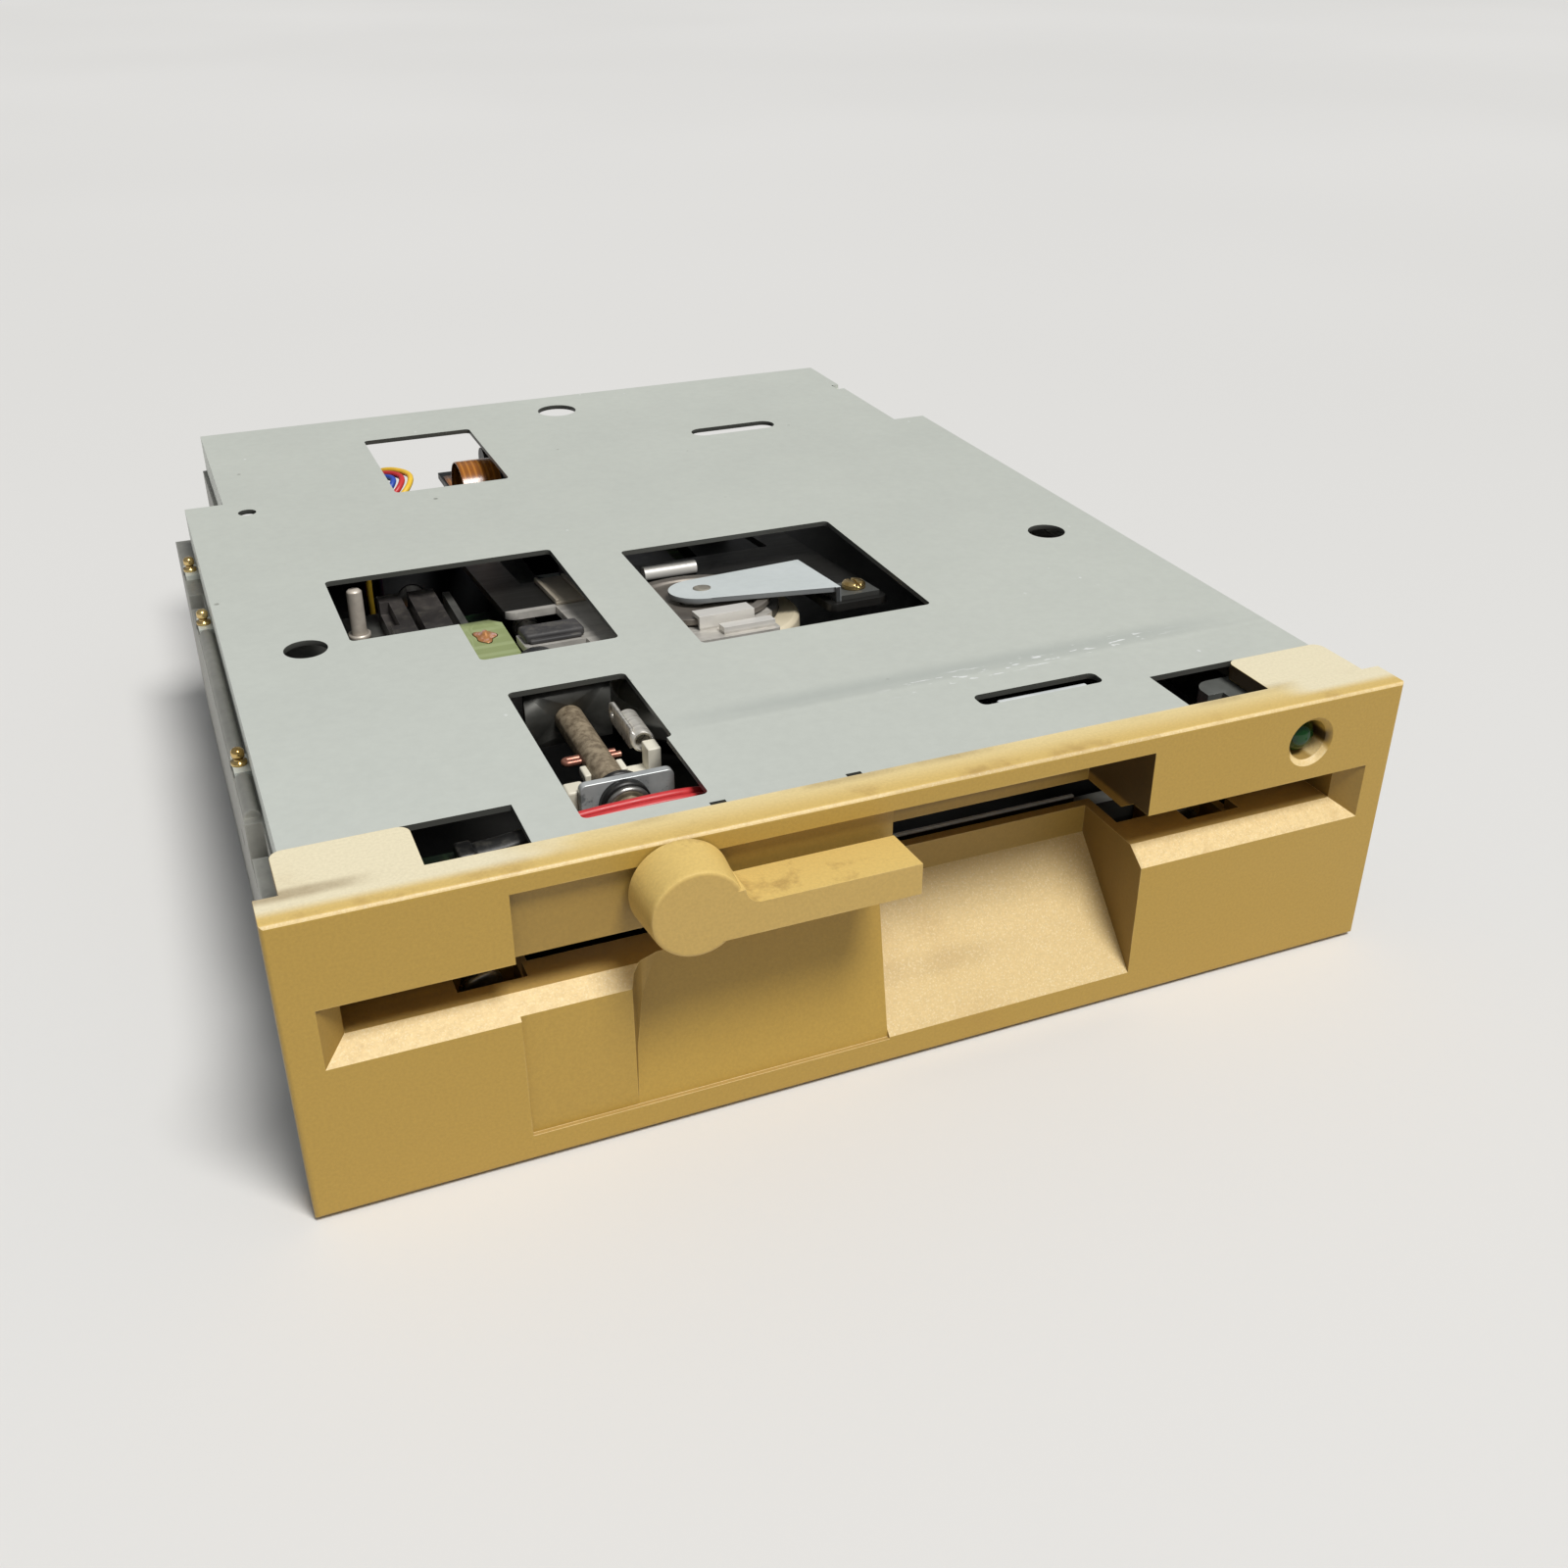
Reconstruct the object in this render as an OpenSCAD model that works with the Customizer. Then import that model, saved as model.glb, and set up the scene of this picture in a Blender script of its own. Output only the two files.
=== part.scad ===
// Half-height 5.25 inch floppy disk drive with a turn lever, shown with the lever open.
// Drive frame while modelling: X to the right, Y back from the bezel's front face, Z up from the table.

/* [Outside] */
// Width over the cast side walls
chassis_w = 146; // [145:0.1:147]
// Height of the top plate's upper face above the table
plate_top = 40.8; // [40.2:0.1:42]
// Depth from the bezel's front face to the card edge
drive_depth = 203; // [201:0.5:210]

/* [Bezel] */
// Overhang of the bezel flange over each side wall
bezel_over = 1.3; // [1:0.1:2]
// Height of the bezel flange
bezel_h = 40.7; // [40.4:0.1:41]
// Gap between the table and the bezel
bezel_lift = 0.45; // [0.2:0.05:0.8]
// Thickness of the bezel flange
flange_t = 5.5; // [5:0.1:5.7]
// Rounding of the flange's front edges
flange_round = 0.6; // [0.3:0.1:1]
// Wall of the tub behind the finger notch
tub_wall = 1.5; // [1.2:0.1:1.6]
// Depth of the finger notch
notch_depth = 14.1; // [13:0.1:14.3]
// Left side of the finger notch
notch_left = -1.1; // [-1.4:0.1:-0.8]
// Right side of the finger notch
notch_right = 35.1; // [33:0.1:37]
// Height of the rail under the notch
bottom_rail_h = 3.95; // [3:0.05:5]
// Height of the rail over the notch
top_rail_h = 2.6; // [2.4:0.1:3]
// Rise of the notch's slope
slope_rise = 14.7; // [13:0.1:16]
// Left side of the upper recess
recess_left = -48.3; // [-50:0.1:-46]
// Depth of the upper recess
recess_depth = 1.4; // [1:0.1:2]
// Depth of the scoop that the lever turns down over, at the slot
scoop_depth = 4.3; // [3.8:0.1:4.4]
// Depth of the panel left of the scoop
panel_depth = 0.55; // [0.4:0.05:0.7]
// Ridge between the panel and the scoop
ridge_x = -34.9; // [-36:0.1:-34.4]
// Width of the top tabs
tab_w = 15.5; // [13.6:0.1:17]
// Distance of the top tabs from the bezel's sides
tab_in = 2.7; // [2.4:0.1:4]
// Back edge of the top tabs
tab_back_y = 14.7; // [13:0.1:14.8]
// Thickness of the top tabs
tab_t = 2.2; // [1.6:0.1:3]
// Distance of the indicator light from the bezel's right side
led_in = 14.4; // [12.5:0.1:16]
// Diameter of the indicator light
led_d = 5; // [4:0.1:5.2]

/* [Disk path] */
// Height of the middle of the disk slot
disk_z = 25.4; // [25.2:0.1:25.6]
// Clear height of the disk slot
slot_h = 4.15; // [4.1:0.05:4.4]
// Room for a disk guide between the slot's end and the side wall
guide_room = 2; // [1.8:0.1:2.4]
// Depth of the slot's sloped mouth
mouth_depth = 3; // [2.4:0.1:3.2]
// Drop of the mouth's lower slope
mouth_low = 2.1; // [1.6:0.1:2.3]
// Width of the slopes at the mouth's ends
mouth_side = 2.8; // [2:0.1:3]
// Rise of the bezel's upper lip over the slot
mouth_high = 1.8; // [1:0.1:1.9]
// Distance of the spindle from the bezel's front face
spindle_y = 73; // [72.5:0.1:73.5]
// Radius of the outermost track
track_out_r = 57.15; // [56.5:0.05:57.5]
// Travel of the heads from the outermost to the innermost track
head_travel = 20.6; // [20:0.1:21]

/* [Lever] */
// Sideways place of the lever's axis
lever_x = -28.9; // [-29.2:0.1:-28.6]
// Height of the lever's axis
lever_z = 35; // [34.8:0.1:35.2]
// Radius of the round knob at its front
knob_r = 5.6; // [5:0.1:5.6]
// Growth of the knob's radius to its back
knob_draft = 0.5; // [0.2:0.1:0.5]
// Reach of the lever in front of the bezel
lever_reach = 6.8; // [5.5:0.1:8]
// Length of the arm from the lever's axis
arm_len = 27.7; // [25:0.1:27.8]
// Height of the arm
arm_h = 4.2; // [3.6:0.1:4.8]
// Diameter of the lever's shaft
shaft_d = 4; // [3.6:0.1:4.1]

/* [Sheet metal] */
// Thickness of the top plate
plate_t = 0.8; // [0.7:0.05:1.1]
// Half width of the plate's front tongue
tongue_half = 44; // [42:0.5:46]
// Front edge of the plate's wide part
plate_front_y = 15.2; // [15:0.1:15.5]
// Width of the side walls' ledges beside the plate
ledge_w = 2.4; // [2.3:0.1:2.6]
// Back edge of the plate's wide part
plate_step_y = 134.3; // [133.5:0.1:136]
// Step in the plate's sides
plate_step_in = 6.3; // [6:0.1:6.6]
// Distance of the plate's back edge from the clamp's pivot
rear_room = 28; // [27.8:0.1:29]
// Thickness of brackets and the clamp carrier
sheet_t = 1.2; // [1:0.05:1.25]

/* [Chassis] */
// Thickness of the side walls
wall_t = 3.5; // [3.3:0.1:3.6]
// Height of the ledge that carries the top plate
ledge_z = 34; // [33.5:0.1:34.5]
// Height of the deck's underside
deck_z = 15; // [14.8:0.1:15.1]
// Thickness of the deck
deck_t = 3; // [2.6:0.1:3.1]
// Distance of the front mounting holes from the bezel's back
mount_first = 47.4; // [47:0.05:48]
// Spacing of the mounting holes along the drive
mount_pitch_y = 79.25; // [79:0.05:79.5]
// Distance of the bottom mounting holes from the drive's sides
mount_inset = 3.15; // [3:0.05:3.25]
// Height of the lower side holes
side_hole_z = 10; // [9.5:0.1:10.5]
// Spacing of the side holes in height
side_pitch_z = 11.84; // [11.5:0.02:12]
// Diameter of the tapped mounting holes
mount_hole_d = 2.5; // [2.4:0.05:2.9]

/* [Clamp] */
// Swing of the clamp carrier from closed to open, in degrees
clamp_deg = 5.82; // [5.7:0.02:5.9]
// Distance of the carrier's pivot behind the spindle
clamp_reach = 75; // [74.8:0.1:75.2]
// Height of the carrier's pivot
clamp_pivot_z = 30; // [29.9:0.1:30.1]
// Radius of the clamp hub's rim
hub_rim_r = 13; // [12.5:0.1:13.2]
// Radius of the clamp hub's flange
hub_flange_r = 16; // [15.5:0.1:16.5]

/* [Drive train] */
// Radius of the spindle's disk seat
spindle_r = 17.4; // [17:0.1:18]
// Radius of the motor's rotor
rotor_r = 28; // [26.5:0.1:28.5]
// Number of motor coils
coil_n = 8; // [6:1:8]
// Sideways place of the guide rods
rod_x = 15; // [14.8:0.1:15.2]
// Height of the guide rods
rod_z = 12; // [11.9:0.1:12.1]
// Diameter of the guide rods
rod_d = 5; // [4.6:0.1:5.2]
// Sideways place of the lead screw
screw_x = -33.5; // [-33.8:0.1:-33.2]
// Height of the lead screw
screw_z = 16.2; // [16:0.1:16.3]
// Diameter of the lead screw
screw_d = 5; // [4.6:0.1:5.2]
// Radius of the stepper motor's can
stepper_r = 10.8; // [10:0.1:10.9]
// Swing of the upper head arm from loaded to lifted, in degrees
arm_deg = 3.2; // [3:0.05:3.4]

/* [Circuit board] */
// Thickness of the main board
board_t = 1.6; // [1.5:0.1:1.7]
// Height of the main board's underside
board_z = 3; // [2.8:0.1:3.1]
// Gap between the main board and the rear side walls
board_in = 3.5; // [2.5:0.5:6]
// Width of the card edge
card_w = 44.5; // [44:0.1:45]

/* [Hidden] */
$fn = 48;
eps = 0.01;
// Running clearance of shafts and pins
run = 0.05;
// Clearance between pieces that pass each other
gap = 0.3;

chassis_half = chassis_w / 2;
wall_in = chassis_half - wall_t;
bezel_w = chassis_w + 2 * bezel_over;
bezel_top = bezel_lift + bezel_h;
slot_w = 2 * (wall_in - guide_room);
slot_z0 = disk_z - slot_h / 2;
slot_z1 = disk_z + slot_h / 2;
mouth_top = slot_z1 + mouth_high;
led_x = bezel_w / 2 - led_in;
tab_outer_x = bezel_w / 2 - tab_in;
tab_inner_x = tab_outer_x - tab_w;
notch_z0 = bezel_lift + bottom_rail_h;
notch_z1 = bezel_top - top_rail_h;
tub_back = notch_depth + tub_wall;
front_wall_y = tub_back + 0.4;
front_wall_t = 2.8;
plate_low = plate_top - plate_t;
tongue_y = flange_t + gap;
plate_half = chassis_half - ledge_w;
plate_rear_half = plate_half - plate_step_in;
clamp_pivot_y = spindle_y + clamp_reach;
plate_back_y = clamp_pivot_y + rear_room;
mount_pitch_x = chassis_w - 2 * mount_inset;
wall_front_y = flange_t + 0.5;
wall_back_y = 138;
rear_half = plate_rear_half + 0.7;
rear_wall_t = 2.5;
deck_top = deck_z + deck_t;
bridge_z0 = slot_z1 + 0.5;
bridge_t = 2.3;
bridge_top = bridge_z0 + bridge_t;
bridge_w = 3.3;
mount_y = [flange_t + mount_first, flange_t + mount_first + mount_pitch_y];
side_z = [side_hole_z, side_hole_z + side_pitch_z];
track0_y = spindle_y + track_out_r;
jacket_back_y = spindle_y + 133.4 / 2 + 1;
shaft_r = shaft_d / 2;
board_top = board_z + board_t;
board_half = rear_half - rear_wall_t - board_in;
card_y = [drive_depth - 12.7, drive_depth];

// Colours as the photograph shows them
beige = [0.69, 0.56, 0.31];
plate_grey = [0.77, 0.8, 0.78];
cast_grey = [0.62, 0.63, 0.61];
steel = [0.72, 0.72, 0.7];
black = [0.08, 0.08, 0.08];
cream = [0.86, 0.82, 0.72];
brass = [0.75, 0.6, 0.3];
board_green = [0.16, 0.3, 0.14];

// A box between two values on each axis
module span(x, y, z) {
    translate([x[0], y[0], z[0]])
        cube([x[1] - x[0], y[1] - y[0], z[1] - z[0]]);
}

// A round bar along Y
module bar_y(x, z, y, r) {
    translate([x, y[0], z])
        rotate([-90, 0, 0])
            cylinder(h = y[1] - y[0], r = r);
}

// A round bar along X
module bar_x(y, z, x, r) {
    translate([x[0], y, z])
        rotate([0, 90, 0])
            cylinder(h = x[1] - x[0], r = r);
}

// A round bar along Z
module bar_z(x, y, z, r) {
    translate([x, y, z[0]])
        cylinder(h = z[1] - z[0], r = r);
}

// A profile drawn in Y and Z, carried along X
module along_x(x) {
    translate([x[0], 0, 0])
        rotate([90, 0, 90])
            linear_extrude(x[1] - x[0])
                children();
}

// A profile drawn in X and Z, carried along Y
module along_y(y) {
    translate([0, y[1], 0])
        rotate([90, 0, 0])
            linear_extrude(y[1] - y[0])
                children();
}

module both_sides() {
    children();
    mirror([1, 0, 0])
        children();
}

// A rectangle with round corners
module round_rect(x, y, r) {
    translate([x[0] + r, y[0]])
        square([x[1] - x[0] - 2 * r, y[1] - y[0]]);
    translate([x[0], y[0] + r])
        square([x[1] - x[0], y[1] - y[0] - 2 * r]);
    for (px = [x[0] + r, x[1] - r], py = [y[0] + r, y[1] - r])
        translate([px, py])
            circle(r);
}

// A strip whose front corners are round
module front_round(half, back, r) {
    translate([-half, r])
        square([2 * half, back - r]);
    translate([-half + r, 0])
        square([2 * (half - r), back]);
    for (s = [-1, 1])
        translate([s * (half - r), r])
            circle(r);
}

// Front bezel
// The lugs take the screws that hold the bezel to the front wall
lug_x = [46, 54.3];
lug_y = front_wall_y - 2.5;
lug_wall = 1.3;
lug_z = [slot_z0 - 8.3, slot_z0 - 2.3];
bezel_screw_x = (lug_x[0] + lug_x[1]) / 2;
bezel_screw_z = (lug_z[0] + lug_z[1]) / 2;
shelf_back_y = flange_t + 3;
shelf_half = wall_in - gap;
shelf_t = 1.8;
boss_r = shaft_r + 1;
front_wall = 2.4;
// How far added pieces of the moulding run into the flange
bite = 1;

module bezel_flange() {
    intersection() {
        translate([0, 0, bezel_lift])
            linear_extrude(bezel_h)
                front_round(bezel_w / 2, flange_t, flange_round);
        translate([0, 0, bezel_lift + bezel_h / 2])
            rotate([0, 90, 0])
                translate([0, 0, -bezel_w / 2])
                    linear_extrude(bezel_w)
                        front_round(bezel_h / 2, flange_t, flange_round);
    }
}

module bezel_tabs() {
    round_r = 1.5;
    both_sides()
        translate([0, 0, bezel_top - tab_t])
            linear_extrude(tab_t) {
                translate([tab_inner_x, flange_t - bite])
                    square([tab_outer_x - tab_inner_x, tab_back_y - flange_t - round_r + bite]);
                translate([tab_inner_x + round_r, flange_t - bite])
                    square([tab_outer_x - tab_inner_x - 2 * round_r, tab_back_y - flange_t + bite]);
                for (x = [tab_inner_x + round_r, tab_outer_x - round_r])
                    translate([x, tab_back_y - round_r])
                        circle(round_r);
            }
}

module bezel_tub() {
    x = [notch_left - tub_wall, notch_right + tub_wall];
    slope = slope_rise / notch_depth;
    under = tub_wall * sqrt(1 + slope * slope);
    along_x(x)
        polygon([[flange_t - bite, notch_z0 + slope * (flange_t - bite) - under],
            [tub_back, notch_z0 + slope * tub_back - under], [tub_back, disk_z], [flange_t - bite, disk_z]]);
    span(x, [flange_t - bite, tub_back], [disk_z - bite, notch_z1 + tub_wall * 0.7]);
}

// The lower shelf leaves room for the screw heads
module bezel_shelves() {
    y = [flange_t - bite, shelf_back_y];
    z = [slot_z0 - shelf_t, disk_z];
    span([-lug_x[0], lug_x[0]], y, z);
    both_sides()
        span([lug_x[1], shelf_half], y, z);
    span([-shelf_half, shelf_half], [flange_t - bite, flange_t + 4], [disk_z - bite, slot_z1 + bridge_t]);
}

module bezel_lugs() {
    both_sides() {
        span([lug_x[0] - lug_wall, lug_x[1] + lug_wall], [lug_y, front_wall_y], lug_z);
        for (x = [lug_x[0] - lug_wall, lug_x[1]])
            span([x, x + lug_wall], [flange_t - bite, front_wall_y], lug_z);
    }
}

// The slot with its sloped mouth, which is higher in the flange than behind it
module disk_mouth() {
    half = slot_w / 2;
    end = tub_back + 1;
    low_grow = mouth_low / mouth_depth;
    side_grow = mouth_side / mouth_depth;
    intersection() {
        along_x([-half - 2 * mouth_side, half + 2 * mouth_side])
            polygon([[-1, slot_z0 - mouth_low - low_grow], [mouth_depth, slot_z0], [end, slot_z0],
                [end, slot_z1], [flange_t + 0.5, slot_z1], [mouth_depth + 0.4, mouth_top], [-1, mouth_top]]);
        translate([0, 0, slot_z0 - 2 * mouth_low])
            linear_extrude(mouth_top - slot_z0 + 4 * mouth_low)
                polygon([[-half - mouth_side - side_grow, -1], [half + mouth_side + side_grow, -1],
                    [half, mouth_depth], [half, end], [-half, end], [-half, mouth_depth]]);
    }
}

module finger_notch() {
    slope = slope_rise / notch_depth;
    span([recess_left, notch_right], [-1, recess_depth], [disk_z, notch_z1]);
    span([notch_left, notch_right], [-1, notch_depth], [disk_z, notch_z1]);
    along_x([notch_left, notch_right])
        polygon([[-1, notch_z0 - slope], [notch_depth, notch_z0 + slope_rise],
            [notch_depth, disk_z], [-1, disk_z]]);
}

// A flat panel, and right of its ridge a scoop that leans back to the slot
module lever_sweep() {
    floor_z = notch_z0 - 0.25;
    lean = (scoop_depth - panel_depth) / (slot_z0 - floor_z);
    span([recess_left, ridge_x + bite], [-1, panel_depth], [floor_z, disk_z]);
    difference() {
        along_x([ridge_x, notch_left])
            polygon([[-1, floor_z], [panel_depth, floor_z], [panel_depth + lean * (disk_z - floor_z), disk_z],
                [-1, disk_z]]);
        translate([ridge_x, panel_depth, floor_z - 1])
            linear_extrude(disk_z)
                polygon([[-1, 0], [0, 0], [0.7, 1.5], [2, 2.8], [4.2, 3.7], [7, 4.6], [-1, 4.6]]);
    }
}

// Hollows moulded into the back of the flange
module bezel_hollows() {
    rim = 2.2;
    low = [bezel_lift + rim, slot_z0 - shelf_t - mouth_low - 0.4];
    high = [mouth_top + 2.4, bezel_top - tab_t - 0.4];
    y = [front_wall, flange_t + eps];
    half = bezel_w / 2 - rim;
    span([-half, -lug_x[1] - lug_wall - bite], y, low);
    span([lug_x[1] + lug_wall + bite, half], y, low);
    span([notch_right + tub_wall + bite, lug_x[0] - lug_wall - bite], y, low);
    span([recess_left + rim, ridge_x - 1], [panel_depth + front_wall, flange_t + eps], low);
    span([-half, recess_left - rim], y, high);
    span([notch_right + tub_wall + 1, led_x - led_d], y, high);
}

module front_bezel() {
    bore_r = led_d / 2 + 0.4;
    sink = 0.7;
    difference() {
        union() {
            difference() {
                bezel_flange();
                bezel_hollows();
            }
            bezel_tabs();
            bezel_tub();
            bezel_shelves();
            bezel_lugs();
        }
        disk_mouth();
        finger_notch();
        lever_sweep();
        bar_y(led_x, lever_z, [-1, flange_t + 1], bore_r);
        translate([led_x, -eps, lever_z])
            rotate([-90, 0, 0])
                cylinder(h = sink, r1 = bore_r + sink, r2 = bore_r);
        bar_y(lever_x, lever_z, [0, flange_t + 1], boss_r + gap);
        both_sides()
            bar_y(bezel_screw_x, bezel_screw_z, [lug_y - 1, front_wall_y + 1], 1.7);
    }
}

// Screws that hold the bezel
module bezel_screws() {
    head_r = 2.6;
    head_h = 1.8;
    both_sides()
        difference() {
            union() {
                bar_y(bezel_screw_x, bezel_screw_z, [lug_y - head_h, lug_y], head_r);
                bar_y(bezel_screw_x, bezel_screw_z, [lug_y - eps, front_wall_y + 2.4], mount_hole_d / 2 - run);
            }
            span([bezel_screw_x - 3, bezel_screw_x + 3], [lug_y - head_h - 1, lug_y - head_h + 0.7],
                [bezel_screw_z - 0.3, bezel_screw_z + 0.3]);
        }
}

// Top plate
window_a_x = [-37.3, -21];
window_a_y = [8.8, 43.9];
window_b_y = [55.3, 92.3];
window_c_x = [-7.9, 28.3];
window_c_y = [48.8, 86.9];
window_d_x = [-35.7, -15.4];
window_d_y = [128.9, 160.8];
access_hole = [plate_half - 10.8, 68.4];
window_b_x = [6.2 - access_hole[0], -18.1];
flange_front_y = plate_front_y + 1.8;
stud_y = [49.3, 97.7, 121.2];
stud_x = (plate_half + chassis_half) / 2;
lug_len = 5;
lug_sheet = 0.8;
lip_y = [tub_back + 0.15, tub_back + 0.75];

module plate_outline() {
    nick = 1.6;
    difference() {
        union() {
            translate([-tongue_half, tongue_y])
                square([2 * tongue_half, plate_front_y - tongue_y + eps]);
            translate([-plate_half, plate_front_y])
                square([2 * plate_half, plate_step_y - plate_front_y]);
            translate([-plate_rear_half, plate_step_y - eps])
                square([2 * plate_rear_half, plate_back_y - plate_step_y]);
        }
        for (x = [-21.6, -4.1])
            translate([x - 1, tongue_y - eps])
                square([2, 0.9]);
        translate([plate_rear_half - nick, plate_step_y + 24])
            square([nick + 1, 3]);
    }
}

module plate_windows() {
    corner = 0.8;
    step_b_x = -38.1;
    step_b_y = 68.6;
    round_rect(window_a_x, [24, window_a_y[1]], corner);
    round_rect([window_a_x[0], window_a_x[1] - 0.8], window_a_y, corner);
    round_rect([window_b_x[0], window_b_x[1]], [step_b_y, window_b_y[1]], corner);
    round_rect([step_b_x, window_b_x[1]], window_b_y, corner);
    round_rect(window_c_x, window_c_y, corner);
    round_rect(window_d_x, window_d_y, corner);
    for (s = [-1, 1])
        translate([s * access_hole[0], access_hole[1]])
            circle(3.05);
    translate([3.9, 166.1])
        circle(3.8);
    translate([9.7 - plate_half, 128.7])
        circle(1.5);
    round_rect([24, 41], [138.9, 143.5], 2.25);
    round_rect([19.1, 37.7], [lip_y[1], 19.4], 1);
}

module top_plate() {
    lip_x = [21.5, 35.3];
    difference() {
        union() {
            translate([0, 0, plate_low])
                linear_extrude(plate_t)
                    plate_outline();
            both_sides() {
                span([plate_half - plate_t, plate_half], [flange_front_y, plate_step_y], [ledge_z, plate_low + eps]);
                span([plate_rear_half - plate_t, plate_rear_half], [wall_back_y, plate_back_y],
                    [ledge_z, plate_low + eps]);
                for (y = stud_y)
                    span([plate_half - eps, chassis_half - gap], [y - lug_len / 2, y + lug_len / 2],
                        [ledge_z, ledge_z + lug_sheet]);
            }
            span(lip_x, lip_y, [plate_low - 1.6, plate_low + eps]);
        }
        translate([0, 0, plate_low - 1])
            linear_extrude(plate_t + 2)
                plate_windows();
        both_sides()
            for (y = stud_y)
                bar_z(stud_x, y, [ledge_z - 1, ledge_z + lug_sheet + 1], 0.75);
    }
}

// Small brass screws with washers that hold the plate's lugs to the ledges
module side_studs() {
    lug_top = ledge_z + lug_sheet;
    both_sides()
        for (y = stud_y)
            translate([stud_x, y, 0])
                rotate_extrude()
                    polygon([[0, ledge_z - 3], [0.68, ledge_z - 3], [0.68, lug_top], [1.05, lug_top],
                        [1.05, lug_top + 0.45], [0.6, lug_top + 0.45], [0.6, lug_top + 1],
                        [0.85, lug_top + 1.1], [0.85, lug_top + 1.9], [0.55, lug_top + 2.25],
                        [0, lug_top + 2.35]]);
}

// Chassis
cutout_x = [screw_x - stepper_r - 0.7, 22];
cutout_y = [spindle_y + 31, plate_back_y - 3];
rod_web_y = [spindle_y + 30.5, spindle_y + 33.5];
bulkhead_y = [cutout_y[1], plate_back_y];
bulkhead_top = 20;
stepper_wall_y = [clamp_pivot_y - 1.5, clamp_pivot_y + 1.5];
stepper_wall_x = [screw_x - stepper_r - 4, screw_x + stepper_r + 1];
stepper_wall_z = [8, clamp_pivot_z - 3.8];
housing_tube_r = 7.5;
post_x = [28.6, 32.6];
post_y = [clamp_pivot_y - 2.5, clamp_pivot_y + 2.5];
post_top = clamp_pivot_z + 3;
pin_r = 1.5;
board_post = [board_half - 4, 116, min(card_y[0] - 22.3, plate_back_y - 8)];
board_post_r = 3.5;

// Side wall with the ledge for the plate, a round rail and two slots
module chassis_side() {
    rail_r = 1.05;
    rail_runs = [[stud_y[0] + lug_len / 2 + 0.6, stud_y[1] - lug_len / 2 - 0.6], [36, stud_y[0] - lug_len / 2 - 0.6]];
    slots = [[26, 34.5], [106, 112]];
    difference() {
        union() {
            span([wall_in, chassis_half], [wall_front_y, wall_back_y], [0, ledge_z]);
            for (run_y = rail_runs)
                bar_y(stud_x, ledge_z, run_y, rail_r);
            for (y = mount_y)
                span([mount_pitch_x / 2 - 3.4, wall_in + eps], [y - 4, y + 4], [0, side_hole_z - 2]);
        }
        for (y = slots)
            span([plate_half + 0.3, chassis_half + 1], y, [ledge_z - 5, ledge_z + 2]);
        for (y = mount_y) {
            bar_z(mount_pitch_x / 2, y, [-1, side_hole_z - 3.5], mount_hole_d / 2);
            for (z = side_z)
                bar_x(y, z, [wall_in - 1, chassis_half + 1], mount_hole_d / 2);
        }
        for (y = stud_y)
            bar_z(stud_x, y, [ledge_z - 3.2, ledge_z + 1], 0.7);
    }
}

module chassis_rear_side() {
    span([rear_half - rear_wall_t, rear_half], [wall_back_y - eps, plate_back_y], [0, ledge_z]);
    span([rear_half - eps, chassis_half], [wall_back_y - wall_t, wall_back_y], [0, ledge_z]);
}

module chassis_deck() {
    rib_t = 2;
    difference() {
        union() {
            span([-wall_in - eps, wall_in + eps], [front_wall_y, wall_back_y], [deck_z, deck_top]);
            span([-rear_half + eps, rear_half - eps], [wall_back_y - eps, plate_back_y], [deck_z, deck_top]);
            for (y = [34, 104], s = [-1, 1])
                translate([s * (wall_in + 38) / 2, y, deck_z - 3])
                    translate([-(wall_in - 38) / 2, 0, 0])
                        cube([wall_in - 38, rib_t, 3 + eps]);
        }
        span(cutout_x, cutout_y, [deck_z - 1, deck_top + 1]);
        bar_z(0, spindle_y, [deck_z - 1, deck_top + 1], housing_tube_r + run);
    }
}

module chassis_front() {
    span([-wall_in - eps, wall_in + eps], [front_wall_y, front_wall_y + front_wall_t], [2, slot_z0 - 1.5]);
    span([-wall_in - eps, wall_in + eps], [front_wall_y, front_wall_y + bridge_w], [bridge_z0, bridge_top]);
}

// Webs and walls that carry the rods, the lead screw, the stepper and the carrier's pivots
module chassis_carriers() {
    span([screw_x - 8, cutout_x[1] + 2], rod_web_y, [rod_z - 3.5, deck_z + eps]);
    span([screw_x - 4.5, screw_x + 4.5], [rod_web_y[0], rod_web_y[1] + 3], [rod_z - 3.5, screw_z + 4]);
    span([-rear_half + eps, rear_half - eps], bulkhead_y, [rod_z - 3.5, bulkhead_top]);
    span(stepper_wall_x, stepper_wall_y, stepper_wall_z);
    span([stepper_wall_x[0] - 2, cutout_x[0] + eps], stepper_wall_y, [deck_z, stepper_wall_z[1]]);
    span([-post_x[1], -post_x[0]], stepper_wall_y, [stepper_wall_z[1] - eps, post_top]);
    span([-post_x[1], -post_x[0]], post_y, [screw_z + stepper_r + 0.4, post_top]);
    span(post_x, post_y, [deck_top - eps, post_top]);
    for (s = [-1, 1], y = [board_post[1], board_post[2]])
        bar_z(s * board_post[0], y, [board_top, deck_z + eps], board_post_r);
}

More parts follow.
